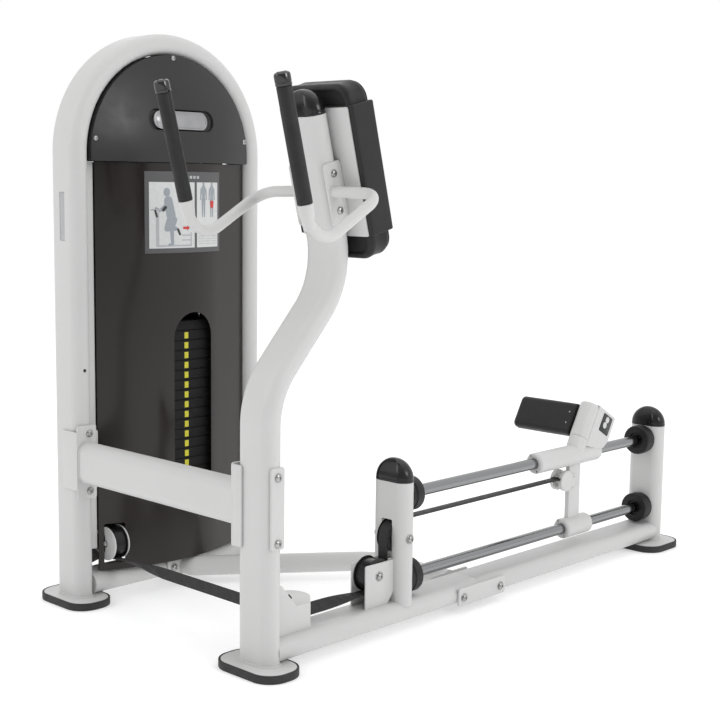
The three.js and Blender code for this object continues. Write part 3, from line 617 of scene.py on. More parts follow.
def wheel_piece(name, centre, axis, width, body, node):
    """Flanged flat-belt wheel with a dished web, a hub and its bearing."""
    centre, w = np.asarray(centre, float), width / 2
    lip, seat = w - 1.4, w - 1.8
    profile = [(-seat, PULLEY_R), (seat, PULLEY_R), (lip, FLANGE_R - 0.4), (lip + 0.3, FLANGE_R),
               (w - 0.3, FLANGE_R), (w, FLANGE_R - 0.4), (w, 31), (w - 1, 30), (w - 7, 28.5), (w - 7, 15.5),
               (w - 0.8, 14), (w - 0.8, 7)]
    mirrored = [(-s, r) for s, r in reversed(profile[1:])]
    make(f"{name}_rim", turned(profile + mirrored, centre, axis, 64, bore=True), NYLON, body,
         replaces=[node], sharp=28)
    for side in (-1, 1):
        seat_ring = [(w - 1.6, 7), (w - 1.6, 13), (w - 0.4, 13), (w - 0.4, 11.5), (w - 0.9, 11.2),
                     (w - 0.9, 8.6), (w - 0.4, 8.4), (w - 0.4, 7)]
        make(f"{name}_bearing_{'near' if side < 0 else 'far'}",
             turned([(s * side, r) for s, r in seat_ring], centre, axis, 40, bore=True), STEEL, body)


def axle(name, centre, axis, half):
    profile = [(-half, 5.8), (-half + 0.8, 6.6), (half - 0.8, 6.6), (half, 5.8)]
    make(name, turned(profile, centre, axis, 24), STEEL)


# ------------------------------------------------------------------ user column and base
LEAN_UP = vec(-math.sin(LEAN), 0, math.cos(LEAN))
LEAN_BACK = vec(math.cos(LEAN), 0, math.sin(LEAN))


def on_lean(c, y, s):
    return vec(0, y, 0) + LEAN_BACK * c + LEAN_UP * s


def user_column():
    (x1, z1), (x2, z2), (x3, z3) = COLUMN
    path = [vec(0, 0, FOOT_H + CLEAR), vec(x1, 0, z1), vec(x2, 0, z2), vec(x3, 0, z3)]
    make("column_body", sweep(oval(), filleted(path, [180, 180], 26), EY), PAINT, replaces=["column_tube"],
         sharp=40)
    dome("column_end_cap", vec(x3, 0, z3), LEAN_UP, "column_cap")
    foot("column", -3, 0)
    weld("column_foot_weld", oval(), vec(0, 0, FOOT_H + 0.6), EY, -EX)
    near = -TUBE_W / 2 - 0.2
    make("column_tie_pad", plate(19, 88, 6, 5, vec(2, near + 2, TIE_Z + 3), EX, EZ, edge=1.6), PAINT)
    for k, z in enumerate((427, 286)):
        bolt(f"column_tie_bolt_{k}", (2, near - 3, z), -EY, washer=False)


def base_beam():
    def lay(x0, x1):
        return tube(oval(), (x0, 0, BEAM_Z), (x1, 0, BEAM_Z), EY)

    make("beam_front_body", lay(12, SPLICE_X - CLEAR), PAINT, replaces=["beam_front"], bevel=0.5)
    make("beam_rear_body", lay(SPLICE_X, REAR_X - 12), PAINT, replaces=["beam_rear"], bevel=0.5)
    y = -TUBE_W / 2 - CLEAR
    make("splice_cheek", plate(90, 22, 6, 6, vec(SPLICE_X, y, BEAM_Z - 3), EX, EZ), PAINT,
         replaces=["splice_plate"])
    for k, dx in enumerate((-71, 71)):
        bolt(f"splice_bolt_{k}", (SPLICE_X + dx, y - 6, BEAM_Z - 5), -EY, 8.5)


def posts():
    low = BEAM_TOP + CLEAR
    slot = plate(16.5, 49, 3, 80, vec(MID_X - 40, 0, 214), EY, EZ, edge=0.1)
    make("mid_post_body", tube(oval(), (MID_X, 0, low - 12), (MID_X, 0, POST_TOP), EY), PAINT,
         replaces=["mid_post"], cuts=[slot], sharp=35)
    outline = [(302, low - 3), (302, 168.5), (304.5, 171), (395, 171), (397, 169), (397, 96),
               (374, low - 3)]
    for name, y in (("near", -20.5), ("far", 24)):
        make(f"wheel_cheek_{name}", prism(outline, 3.5, vec(0, y, 0), EX, EZ), PAINT, bevel=0.6)
    make("slot_tab", box(MID_X - 36, MID_X - 20, -17, -11, 160, 173), PAINT, bevel=1)
    dome("mid_post_end_cap", vec(MID_X, 0, POST_TOP), EZ, "mid_post_cap")
    make("rear_post_body", tube(oval(), (REAR_X, 0, FOOT_H + CLEAR), (REAR_X, 0, POST_TOP), EY), PAINT,
         replaces=["rear_post"])
    dome("rear_post_end_cap", vec(REAR_X, 0, POST_TOP), EZ, "rear_post_cap")
    foot("rear", REAR_X - 22, 0, 80)
    weld("rear_post_weld", oval(), vec(REAR_X, 0, FOOT_H + 0.6), EY, -EX)


def guide_rods():
    x0, x1 = MID_X + TUBE_T / 2 + CLEAR, REAR_X - TUBE_T / 2 - CLEAR
    for level, z in (("upper", ROD_UP_Z), ("lower", ROD_LOW_Z)):
        make(f"slide_rod_{level}", turned([(0, ROD_R), (x1 - x0, ROD_R)], (x0, 0, z), EX, 64), CHROME,
             replaces=[f"guide_rod_{level}"])
        for end, x, out in (("front", x0, 1), ("rear", x1, -1)):
            bore, face = ROD_R + 0.6, BUMPER_T
            profile = [(0, bore), (0, BUMPER_R - 3), (0.8, BUMPER_R - 2.4), (12, BUMPER_R - 2.4),
                       (12.8, BUMPER_R - 1), (14, BUMPER_R), (face - 4, BUMPER_R),
                       (face - 1.4, BUMPER_R - 0.9), (face - 0.2, BUMPER_R - 3), (face, BUMPER_R - 5),
                       (face, 22), (face - 1, 21), (face - 6, 20.5), (face - 6.5, bore)]
            make(f"buffer_{end}_{level}", turned(profile, (x, 0, z), EX * out, 72, bore=True), BUFFER,
                 replaces=[f"bumper_{end}_{level}"], sharp=28)


# ------------------------------------------------------------------ weight tower
def tie():
    y0, y1 = TUBE_W / 2 + CLEAR, TOWER_Y - TUBE_W / 2 - CLEAR
    make("tie_body", tube(oval(), (0, y0 + 3, TIE_Z), (0, y1 - 3, TIE_Z), EZ), PAINT, replaces=["tie_tube"])
    for name, back, wide, seam in (("column", y0 + 7, 31, y0 + 6.4), ("tower", y1 + 1, 27.5, y1 - 6.4)):
        make(f"tie_end_plate_{name}", plate(wide, 91, 6, 6, vec(0, back, TIE_Z), EX, EZ, edge=2.4), PAINT)
        weld(f"tie_weld_{name}", oval(), vec(0, seam, TIE_Z), EZ, EX, 2.2)
    half = TUBE_T / 2 + CLEAR
    for name, x, ya, yb, z0, z1 in (("left", -half - 5, y1 - 6, y1 + 55, -66, 76),
                                    ("right", half, y1 - 6, y1 + 22, -66, 76),
                                    ("column", -half - 5, y0 - 26, y0 + 6, -88, 88)):
        wing = plate((yb - ya) / 2, (z1 - z0) / 2, 5, 5, vec(x, (ya + yb) / 2, TIE_Z + (z0 + z1) / 2), EY,
                     EZ)
        make(f"tie_wing_{name}", wing, PAINT)
    for k, dz in enumerate((70.5, -70.5)):
        bolt(f"tie_tower_bolt_{k}", (7, y1 - 5, TIE_Z + dz), -EY, washer=False)


def tower():
    z0 = FOOT_H + CLEAR
    bend = [(vec(ARCH_X + ARCH_R * math.cos(a), TOWER_Y, ARCH_Z + ARCH_R * math.sin(a)),
             vec(math.sin(a), 0, -math.cos(a))) for a in arc(math.pi, 0, 96)]
    path = [(vec(0, TOWER_Y, z0), EZ), *bend, (vec(TOWER_X, TOWER_Y, z0), -EZ)]
    recess = plate(10, 57.5, 1.5, 4, vec(-TUBE_T / 2 - 1, 674, 947.5), EY, EZ, edge=0.05)
    hole = turned([(-1, 4.5), (9, 4.5)], (0, TOWER_Y - TUBE_W / 2 - 1, 580), EY, 24)
    make("tower_arch_body", sweep(oval(), path, EY), PAINT, replaces=["tower_arch"], cuts=[recess, hole],
         sharp=40)
    make("leg_slot_insert", plate(9.3, 56.8, 1.4, 1.2, vec(-TUBE_T / 2 + 0.6, 674, 947.5), EY, EZ,
                                  edge=0.2), LINE)
    make("leg_plug", turned([(0, 4.2), (3, 4.2), (4, 3)], (0, TOWER_Y - TUBE_W / 2 + 4.4, 580), -EY, 24),
         GLOSS)
    inner = TUBE_T / 2
    make("leg_strip", box(inner - 1, inner + 22, 652, 655, 130, COVER_Z0 - 2), PAINT, bevel=0.5)
    make("tower_base_bar", tube(oval(), (inner + CLEAR, TOWER_Y, BEAM_Z),
                                (TOWER_X - inner - CLEAR, TOWER_Y, BEAM_Z), EY), PAINT,
         replaces=["tower_crossmember"])
    for side, x in (("left", 0), ("right", TOWER_X)):
        foot(f"tower_{side}", x, TOWER_Y)
        weld(f"tower_{side}_weld", oval(), vec(x, TOWER_Y, FOOT_H + 0.6), EY, -EX)


def brace():
    y0 = TOWER_Y - TUBE_W / 2 - CLEAR
    path = [vec(BRACE_X0, y0 - 3, BEAM_Z), vec(BRACE_X0, y0 - 26, BEAM_Z), vec(BRACE_X1, 298, BEAM_Z),
            vec(BRACE_X1, 54, BEAM_Z)]
    make("brace_body", sweep(circle(TUBE_T / 2, 48), filleted(path, [22, 120], 20), EZ), PAINT,
         replaces=["brace_tube"], sharp=40)
    for name, hx, x, y in (("beam", 70, BRACE_X1, TUBE_W / 2 + CLEAR + 6), ("tower", 62, BRACE_X0, y0)):
        make(f"brace_flange_{name}", plate(hx, 22, 6, 6, vec(x, y, BEAM_Z), EX, EZ), PAINT)
        for k, dx in enumerate((-44, 44)):
            out = EY if name == "beam" else -EY
            bolt(f"brace_bolt_{name}_{k}", (x + dx, y if name == "beam" else y - 6, BEAM_Z), out, 8)


def bow(x, front=SHROUD_FRONT, r=SHROUD_R):
    turn = min(x - ARCH_X, SHROUD_BEND)
    fall = math.sqrt(r * r - turn * turn)
    return front + r - fall + (x - ARCH_X - turn) * turn / fall


def cover_front(x, z):
    q = ((x - ARCH_X) ** 2 + max(0, z - ARCH_Z) ** 2) / (ARCH_IN * ARCH_IN)
    return 627 - 44 * (1 - q)


def shrouds():
    us = arc(SHROUD_X0, SHROUD_X1, 100)
    vs = [SHROUD_Z0, SHROUD_Z1]
    panel = slab(us, vs, lambda x, z: vec(x, bow(x), z),
                 lambda x, z: vec(x, bow(x, SHROUD_FRONT + SHROUD_T, SHROUD_R - SHROUD_T), z))
    r = WINDOW_R
    hood = [(r * math.cos(t), WINDOW_TOP + r * math.sin(t)) for t in arc(0, math.pi, 40)]
    window = prism([(-r, WINDOW_LOW), (r, WINDOW_LOW), *hood], 70, vec(STACK_X, 645, 0), EX, EZ)
    notch = plate(24, 50, 5, 120, vec(BELT_X, 700, LOW_WHEEL_Z), EX, EZ, edge=0.1)
    make("front_shroud_sheet", panel, SMOKED, replaces=["front_shroud"], cuts=[window, notch], sharp=25)
    back = 2 * TOWER_Y
    make("rear_shroud_sheet", slab(us, vs, lambda x, z: vec(x, back - bow(x), z), lambda x,
                                   z: vec(x, back - bow(x) - SHROUD_T, z)), SMOKED,
         replaces=["rear_shroud"], sharp=25)


BADGE_X, BADGE_Z = 275, 1182                       # middle of the badge and its recess


def stadium(hx, hz, n=16):
    return round_rect(hx, hz, min(hx, hz), n)


def covers():
    r = ARCH_IN - 1
    levels = [COVER_Z0, COVER_Z0 + 9, *(ARCH_Z + r * math.sin(t) for t in arc(0, math.radians(88.2), 44))]

    def sheet(side):
        def surface(depth):
            def at(u, z):
                w = math.sqrt(max(r * r - max(0, z - ARCH_Z) ** 2, 1))
                x = ARCH_X + u * w
                y = cover_front(x, z) + depth
                return vec(x, y if side > 0 else 2 * TOWER_Y - y, z)
            return at
        return slab(arc(-1, 1, 96), levels, surface(0), surface(SHROUD_T))

    def edge(inset):
        """Outline of the cover: up its right side, over the arch and down its left side."""
        a, half_way = r - inset, (COVER_Z0 + ARCH_Z) / 2
        over = [(a * math.cos(t), ARCH_Z + a * math.sin(t)) for t in arc(0, math.pi, 72)]
        line = [(a, COVER_Z0), (a, half_way), *over, (-a, half_way), (-a, COVER_Z0)]
        return [(ARCH_X + x, z) for x, z in line]

    outer, inner = edge(0), edge(2.5)
    skirt = slab(range(len(outer)), [-0.4, SKIRT_D],
                 lambda k, d: vec(outer[k][0], cover_front(*outer[k]) + d, outer[k][1]),
                 lambda k, d: vec(inner[k][0], cover_front(*outer[k]) + d, inner[k][1]))
    make("front_cover_skirt", skirt, COVER, bevel=1.0, sharp=50)
    pocket = prism(stadium(102.5, 27), 60, vec(BADGE_X, 625, BADGE_Z), EX, EZ)
    make("front_cover_shell", sheet(1), COVER, replaces=["front_cover"], cuts=[pocket], sharp=30)
    make("rear_cover_shell", sheet(-1), COVER, replaces=["rear_cover"], sharp=30)

    def lip(grow, depth):
        loop = []
        for a, b in stadium(102.5 + grow, 27 + grow):
            x, z = BADGE_X + a, BADGE_Z + b
            loop.append(vec(x, cover_front(x, z) + depth, z))
        return loop

    dish = [lip(2.4, 0.6), lip(2.2, -0.3), lip(0.8, -0.5), lip(-0.6, 0.2), lip(-1.6, 2), lip(-2.6, 7),
            lip(-4, 9), lip(-6, 9.6), lip(-26.5, 9.6)]
    dish += [lip(-26.5, 11.5), lip(-4, 11.5), lip(0, 8), lip(0.5, 4)]
    make("badge_dish", loft(dish, closed=True), COVER, sharp=50)

    def face(grow, depth):
        loop = []
        for a, b in stadium(84 + grow, 22.5 + grow):
            x, z = BADGE_X + a - 2, BADGE_Z + b
            loop.append(vec(x, cover_front(x, z) + depth, z))
        return loop

    plate_rings = [face(0, 9.8), face(0, 3.8), face(-0.8, 3), face(-3.2, 3), face(-3.8, 3.5),
                   face(-4.6, 3.5), face(-5.2, 3), face(-22, 3)]
    make("badge_plate", loft(plate_rings), BADGE, replaces=["badge"], sharp=40)
    for k, (x, z) in enumerate(((38, 1132), (271, 1334), (503, 1136))):
        y = cover_front(x, z)
        bolt(f"cover_screw_{k}", (x, y + 0.6, z), -EY, 6.5, washer=False)


# ------------------------------------------------------------------ placard
PLACARD_X, PLACARD_Z = 282, 957                    # its middle; shapes on it are placed from there


def printed_shape(name, outlines, level, finish, thick=0.3):
    """Thin printed shapes that follow the bowed shroud; each outline is in placard millimetres."""
    parts = []
    for outline in outlines:
        rings = []
        for depth in (level, level + thick):
            rings.append([vec(PLACARD_X + a, bow(PLACARD_X + a) - depth, PLACARD_Z + b)
                          for a, b in outline])
        parts.append(loft(rings))
    make(name, join(*parts), finish, sharp=40)


def rect(a0, a1, b0, b1):
    """Rectangle with enough points along it to follow the bow."""
    low = [(a, b0) for a in arc(a0, a1, 10)]
    return low + [(a, b1) for a in arc(a1, a0, 10)]


def limb(a, b, wa, wb=None):
    """Tapered limb with round ends between two points."""
    heading = math.atan2(b[1] - a[1], b[0] - a[0])
    out = []
    for (x, y), w, start in ((a, wa, heading + math.pi / 2), (b, wb or wa, heading - math.pi / 2)):
        out += [(x + w * math.cos(t), y + w * math.sin(t)) for t in arc(start, start + math.pi, 8)]
    return out


def standing_figure(a, scale):
    """Plain front view of a body: head, trunk, arms and legs."""
    def p(x, y):
        return (a + x * scale, 30 + y * scale)

    return [limb(p(0, 43), p(0, 45), 4.2 * scale), limb(p(0, 33), p(0, 8), 8 * scale, 6 * scale),
            limb(p(-9.5, 30), p(-12, 2), 2.6 * scale, 2 * scale),
            limb(p(9.5, 30), p(12, 2), 2.6 * scale, 2 * scale),
            limb(p(-4, 2), p(-4, -46), 4 * scale, 2 * scale),
            limb(p(4, 2), p(4, -46), 4 * scale, 2 * scale)]


def placard():
    border = slab(arc(-121, 121, 40), [-100, 100],
                  lambda a, b: vec(PLACARD_X + a, bow(PLACARD_X + a) - 1.8, PLACARD_Z + b),
                  lambda a, b: vec(PLACARD_X + a, bow(PLACARD_X + a) - CLEAR, PLACARD_Z + b))
    make("placard_back", border, BORDER, replaces=["placard"], sharp=25)
    panels = [rect(-110, 24, -88, 74), rect(32, 112, -40, 74), rect(32, 112, -88, -48)]
    printed_shape("placard_panels", panels, 1.8, PAPER)
    body = [limb((-62, 48), (-62, 51), 9), limb((-58, 28), (-50, -8), 12, 13),
            limb((-58, 22), (-82, 4), 4.5, 3.5), limb((-82, 4), (-92, 10), 3.5, 3),
            limb((-52, -14), (-62, -38), 9, 7), limb((-62, -40), (-36, -40), 7, 5),
            limb((-40, -18), (-48, -42), 8, 6), limb((-48, -42), (-46, -76), 5.5, 4.5),
            limb((-46, -78), (-56, -80), 4, 3)]
    printed_shape("placard_user", body, 2.1, FIGURE)
    machine = [rect(-92, -84, -80, 0), rect(-92, 14, -84, -80), rect(-18, 14, -58, -55),
               rect(-18, 14, -70, -67), rect(10, 14, -84, -50), rect(-106, -78, 4, 8)]
    printed_shape("placard_machine", machine, 2.1, LINE)
    printed_shape("placard_hands", [limb((-94, 4), (-90, -10), 2.6), limb((-30, -42), (-24, -54), 3),
                                    limb((-72, 6), (-66, 12), 4)], 2.4, INK)
    arrow = [(-14, -41.5), (-1, -41.5), (-1, -45), (7, -38.5), (-1, -32), (-1, -35.5), (-14, -35.5)]
    printed_shape("placard_arrow", [arrow], 2.4, RED)
    printed_shape("placard_bodies", standing_figure(56, 0.9) + standing_figure(88, 0.9), 2.1, FIGURE)
    printed_shape("placard_muscles", [limb((85, 24), (85, 12), 4.4, 2.6),
                                      limb((91, 24), (91, 12), 4.4, 2.6)], 2.5, RED)
    rows = [rect(37 + 25 * k, 58 + 25 * k, -55 - 6.2 * j, -53.6 - 6.2 * j) for k in range(3)
            for j in range(5)]
    printed_shape("placard_rows", rows, 2.1, LINE)
    header = [rect(-28 + 12 * k, -20 + 12 * k, 83, 90) for k in range(6)]
    printed_shape("placard_header", header, 1.8, LINE)


# ------------------------------------------------------------------ weight stack
def plate_bottom(k):
    return STACK_TOP - PITCH * k


def weight_plate(k):
    z0, z1 = plate_bottom(k) + 0.15, plate_bottom(k - 1) - 0.15

    def loop(inset, z):
        return ring(round_rect(PLATE_W / 2 - inset, PLATE_D / 2 - inset, 7, 5), vec(STACK_X, TOWER_Y, z),
                    EX, EY)

    return loft([loop(2.6, z0), loop(0.9, z0 + 0.6), loop(0, z0 + 2.2), loop(0, z1 - 2.2),
                 loop(0.9, z1 - 0.6), loop(2.6, z1)])


def weight_stack():
    rods = [turned([(0, 10.7), (700, 10.7)], (STACK_X + s * STACK_ROD_DX, TOWER_Y, 100), EZ, 32)
            for s in (-1, 1)]
    head = plate(PLATE_W / 2, PLATE_D / 2, 7, 25.5, vec(STACK_X, TOWER_Y, STACK_TOP), EX, EY, edge=3)
    stud = turned([(-2, 16), (30, 16), (34, 15), (37, 12)], (STACK_X, TOWER_Y, STACK_TOP + 26), EZ, 36)
    picked = join(*(weight_plate(k) for k in range(1, PICKED + 1)), head)
    pin_z = plate_bottom(PICKED) + PITCH / 2
    front = TOWER_Y - PLATE_D / 2
    pin_hole = turned([(-5, 5.6), (70, 5.6)], (STACK_X, front, pin_z), EY, 24)
    make("stack_lifted", picked, PLATE, "lifted", ["lifted_plates"], cuts=[*rods, pin_hole])
    make("stack_stud", stud, STEEL, "lifted")
    rest = join(*(weight_plate(k) for k in range(PICKED + 1, PLATES + 1)))
    make("stack_resting", rest, PLATE, replaces=["resting_plates"], cuts=rods)
    for k in range(1, PLATES + 1):
        if k == PICKED:
            continue
        label = plate(6.2, 8, 0.8, 0.5, vec(STACK_X, front + 0.2, plate_bottom(k) + PITCH / 2), EX, EZ,
                      edge=0.1)
        make(f"plate_mark_{k:02d}", label, YELLOW, "lifted" if k <= PICKED else "frame")
    knob = [(-38, 6), (-38, 9), (-37, 11.5), (-35.5, 13), (-16, 13), (-13.5, 12), (-11, 10), (-4, 8.2),
            (-3, 7.6), (-3, 4.8)]
    make("selector_knob", turned(knob, (STACK_X, front, pin_z), EY, 40), YELLOW, "pin", ["selector_pin"],
         sharp=40)
    make("selector_shank", turned([(-3.5, 4.8), (56, 4.8), (59, 3)], (STACK_X, front, pin_z), EY, 24),
         STEEL, "pin")
    for side, s in (("left", -1), ("right", 1)):
        low, high = node_mm(f"stack_rod_{side}")
        make(f"stack_guide_{side}", turned([(0, 9.5), (high[2] - low[2], 9.5)],
                                           (STACK_X + s * STACK_ROD_DX, TOWER_Y, low[2]), EZ, 40), CHROME,
             replaces=[f"stack_rod_{side}"])


# ------------------------------------------------------------------ belt drive
def wheels():
    axle_half = {"corner": 22, "tower_lower": 23, "mid_lower": 25}
    turning = [joint for joint in frame["joints"] if joint["child"].endswith("_wheel")]
    for joint in sorted(turning, key=lambda j: j["child"]):
        body = joint["child"]
        key = body.replace("_wheel", "")
        top = key.startswith("top_pulley")
        centre, axis = np.array((Vector(joint["pos_m"]) - ORIGIN) * 1000), unit(joint["axis"])
        width = 38 if key == "mid_lower" else 34
        wheel_piece(key if top else body, centre, axis, width, body, key if top else f"{key}_pulley")
        axle(f"{key}_axle", centre, axis, axle_half.get(key, 26))
    bolt("mid_lower_axle_bolt", (MID_LOW_X, -24, LOW_WHEEL_Z), -EY, 9)
    bolt("mid_lower_axle_bolt_far", (MID_LOW_X, 24, LOW_WHEEL_Z), EY, 9)
    for name, s in (("near", -1), ("far", 1)):
        bolt(f"mid_upper_axle_bolt_{name}", (MID_X, s * (TUBE_W / 2 - 0.4), MID_UP_Z), EY * s, 9)


def wheel_mounts():
    x, y, z, r = BELT_X, TOWER_Y - BELT_R, LOW_WHEEL_Z, FLANGE_R + 0.6
    low, high = z - 22, z + 22
    for side, dx in (("left", -22), ("right", 18)):
        cheek = turned([(0, r - 0.6), (0.6, r), (3.4, r), (4, r - 0.6)], (x + dx, y, z), EX, 96)
        make(f"low_wheel_cheek_{side}", cheek, PAINT, sharp=40)
        make(f"low_wheel_arm_{side}", box(x + dx, x + dx + 4, y, TOWER_Y + 22, low, high), PAINT, bevel=0.6)
        bolt(f"low_wheel_bolt_{side}", (x + dx if dx < 0 else x + dx + 4, y, z), EX * (-1 if dx < 0 else 1),
             7)
    make("low_wheel_bridge", box(x - 22, x + 22, TOWER_Y + 18, TOWER_Y + 22, low, high), PAINT,
         replaces=["tower_pulley_bracket"], bevel=0.6)
    low, high = node_mm("top_pulley_bar")
    bar = box(low[0], high[0], low[1], high[1], low[2], 1158)
    gaps = [box(g - 7, g + 7, TOWER_Y - 17, TOWER_Y + 17, 1100, 1200) for g in (BELT_X, STACK_X)]
    make("wheel_bar", bar, PAINT, replaces=["top_pulley_bar"], cuts=gaps, bevel=0.8)
    for name, dy in (("front", -24), ("rear", 20)):
        web = plate(92.5 + 20, 33, 5, 4, vec((BELT_X + STACK_X) / 2, TOWER_Y + dy + 4, 1190), EX, EZ)
        make(f"wheel_bar_cheek_{name}", web, PAINT)


def corner_guard():
    wall_y, x0, z0, top = -20, TUBE_T / 2 - 1, BEAM_TOP - 2, 127.5
    wall = [(x0, z0), (x0, 184), (42, 181), (86, top), (128, top), (128, z0)]
    make("guard_wall", prism(wall, 4, vec(0, wall_y, 0), EX, EZ), PAINT, replaces=["corner_guard"],
         bevel=0.8)
    cx, cy = BELT_X + BELT_R, BELT_R
    nose = [(cx + 46 * math.cos(t), cy + 46 * math.sin(t)) for t in arc(-math.pi / 5, math.pi * 0.9, 40)]
    for name, z in (("lid", top - 4), ("floor", z0)):
        outline = [(x0 + 54, wall_y - 2), (128, wall_y - 2), *nose]
        make(f"guard_{name}", prism(outline, 4, vec(0, 0, z), EX, EY), PAINT, bevel=0.8)
    # The slot is not cut: a thin glossy black sheet on the wall paints the shade of the opening.
    make("guard_slot", plate(7, 1.8, 1.7, 0.6, vec(66, wall_y - 3.7, 153), unit(vec(0.66, 0, -0.75)),
                             unit(vec(0.75, 0, 0.66)), edge=0.1), GLOSS)


def belts():
    """The two straight belt runs that change length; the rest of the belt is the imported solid."""
    section = [(-BELT_W / 2, -BELT_T / 2), (BELT_W / 2, -BELT_T / 2), (BELT_W / 2, BELT_T / 2),
               (-BELT_W / 2, BELT_T / 2)]
    low, high = node_mm("belt_press")
    line = [(vec(x, 0, PRESS_Z), EX) for x in arc(low[0], high[0], 40)]
    press = make("belt_press_run", sweep(section, line, EY), BELT, None, ["belt_press"], bevel=0.4)
    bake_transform(press)
    low, high = node_mm("belt_lift")
    line = [(vec(STACK_X, TOWER_Y, z), EZ) for z in arc(low[2], high[2], 30)]
    lift = make("belt_lift_run", sweep(section, line, EY), BELT, None, ["belt_lift"], bevel=0.4)
    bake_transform(lift)


# ------------------------------------------------------------------ carriage and foot pad
STUB_DIR = vec(math.sin(STUB_TILT), 0, math.cos(STUB_TILT))
STUB_OUT = vec(math.cos(STUB_TILT), 0, -math.sin(STUB_TILT))


def on_stub(p, y, s):
    return vec(STUB_X, y, ROD_UP_Z) + STUB_OUT * p + STUB_DIR * s


def sleeve(name, x0, x1, z):
    """Slider housing on a guide rod with its bush and two grub screws."""
    bore, length = ROD_R + 0.7, x1 - x0
    profile = [(0, bore), (0, 23.4), (1, 24.4), (2.4, 26.4), (4, 27.2), (7, 27.5), (length - 7, 27.5),
               (length - 3, 26.9), (length - 1, 25.2), (length, 23.5), (length, bore)]
    make(f"{name}_sleeve", turned(profile, (x0, 0, z), EX, 72, bore=True), PAINT, "carriage", sharp=40)
    for end, x, out in (("front", x0, -1), ("rear", x1, 1)):
        bush = [(-3, bore - 0.4), (-3, 22), (0.8, 22), (1.4, 21.4), (1.4, 17.4), (0.6, bore - 0.4)]
        make(f"{name}_bush_{end}", turned(bush, (x, 0, z), EX * out, 56, bore=True), PAINT, "carriage")
    for k, angle in enumerate((math.radians(28), math.radians(208))):
        spot = (x0 - 0.4, 23.4 * math.sin(angle), z + 23.4 * math.cos(angle))
        bolt(f"{name}_screw_{k}", spot, -EX, 3.8, "carriage", washer=False)


def carriage():
    sleeve("upper", *UPPER_SLEEVE, ROD_UP_Z)
    sleeve("lower", *LOWER_SLEEVE, ROD_LOW_Z)
    link = box(1115, 1166, -6.4, 6.4, ROD_LOW_Z + 22, ROD_UP_Z - 22)
    make("carriage_link", link, PAINT, "carriage", ["carriage_frame"], bevel=1.5, steps=3)
    drum = [(-20, 25.5), (-18.5, 28), (-9, 28), (-9, 20), (9, 20), (9, 28), (18.5, 28), (20, 25.5)]
    slot = box(1040, CLAMP_X - 10, -15.5, 15.5, PRESS_Z - 3.5, PRESS_Z + 3.5)
    make("belt_clamp", turned(drum, (CLAMP_X, 0, CLAMP_Z), EY, 64), PAINT, "carriage", cuts=[slot],
         sharp=30)
    for k, dz in enumerate((-13, 13)):
        bolt(f"clamp_screw_{k}", (CLAMP_X - 23, 0, CLAMP_Z + dz), vec(-0.95, 0, 0.31 * dz / 13), 5,
             "carriage", washer=False)
    lobe = plate(21, 21, 19, 2.2, vec(1132, -6.2, 241), EX, EZ, edge=1.2, n=12)
    make("clamp_lobe", lobe, PAINT, "carriage")
    boss = [(0, 15), (3.6, 15), (4.6, 14.2), (4.6, 12.6), (3.9, 12), (3.9, 2), (3.5, 1)]
    make("clamp_boss", turned(boss, (1131, -8.8, 240), -EY, 48), PAINT, "carriage", sharp=35)
    stub = [(-6, 24.6), (8, 24.9), (JOINT_S - 1, 25.4), (JOINT_S, 24.9)]
    make("stub_post", turned(stub, on_stub(0, 0, 0), STUB_DIR, 72), PAINT, "carriage")


def block_rings(side, half, edge=2.4, n=4):
    """Outline in the stub's plane carried across the machine, with rounded rims."""
    points = np.array(side, float)
    centre = points.mean(axis=0)
    rings = []
    for t in arc(-math.pi / 2, math.pi / 2, 2 * n):
        inset = edge * (1 - math.cos(t))
        y = math.copysign(half - edge + edge * abs(math.sin(t)), t) if abs(t) > 1e-6 else 0
        shrunk = centre + (points - centre) * (1 - inset / 45)
        rings.append([on_stub(p, y, s) for p, s in shrunk])
    return loft(rings)


def rounded_outline(points, radii, seg=6):
    """Closed outline in a plane with each corner rounded by its own radius."""
    out, n = [], len(points)
    for i, r in enumerate(radii):
        p, a, b = (np.array(points[k % n], float) for k in (i, i - 1, i + 1))
        u, v = unit(a - p), unit(b - p)
        half = math.acos(np.clip(u @ v, -1, 1)) / 2
        mid = p + unit(u + v) * r / math.sin(half)
        start, end = p + u * r / math.tan(half) - mid, p + v * r / math.tan(half) - mid
        t0, t1 = math.atan2(start[1], start[0]), math.atan2(end[1], end[0])
        turn = (t1 - t0 + math.pi) % (2 * math.pi) - math.pi
        out += [tuple(mid + r * np.array((math.cos(t0 + turn * k), math.sin(t0 + turn * k))))
                for k in arc(0, 1, seg)]
    return out


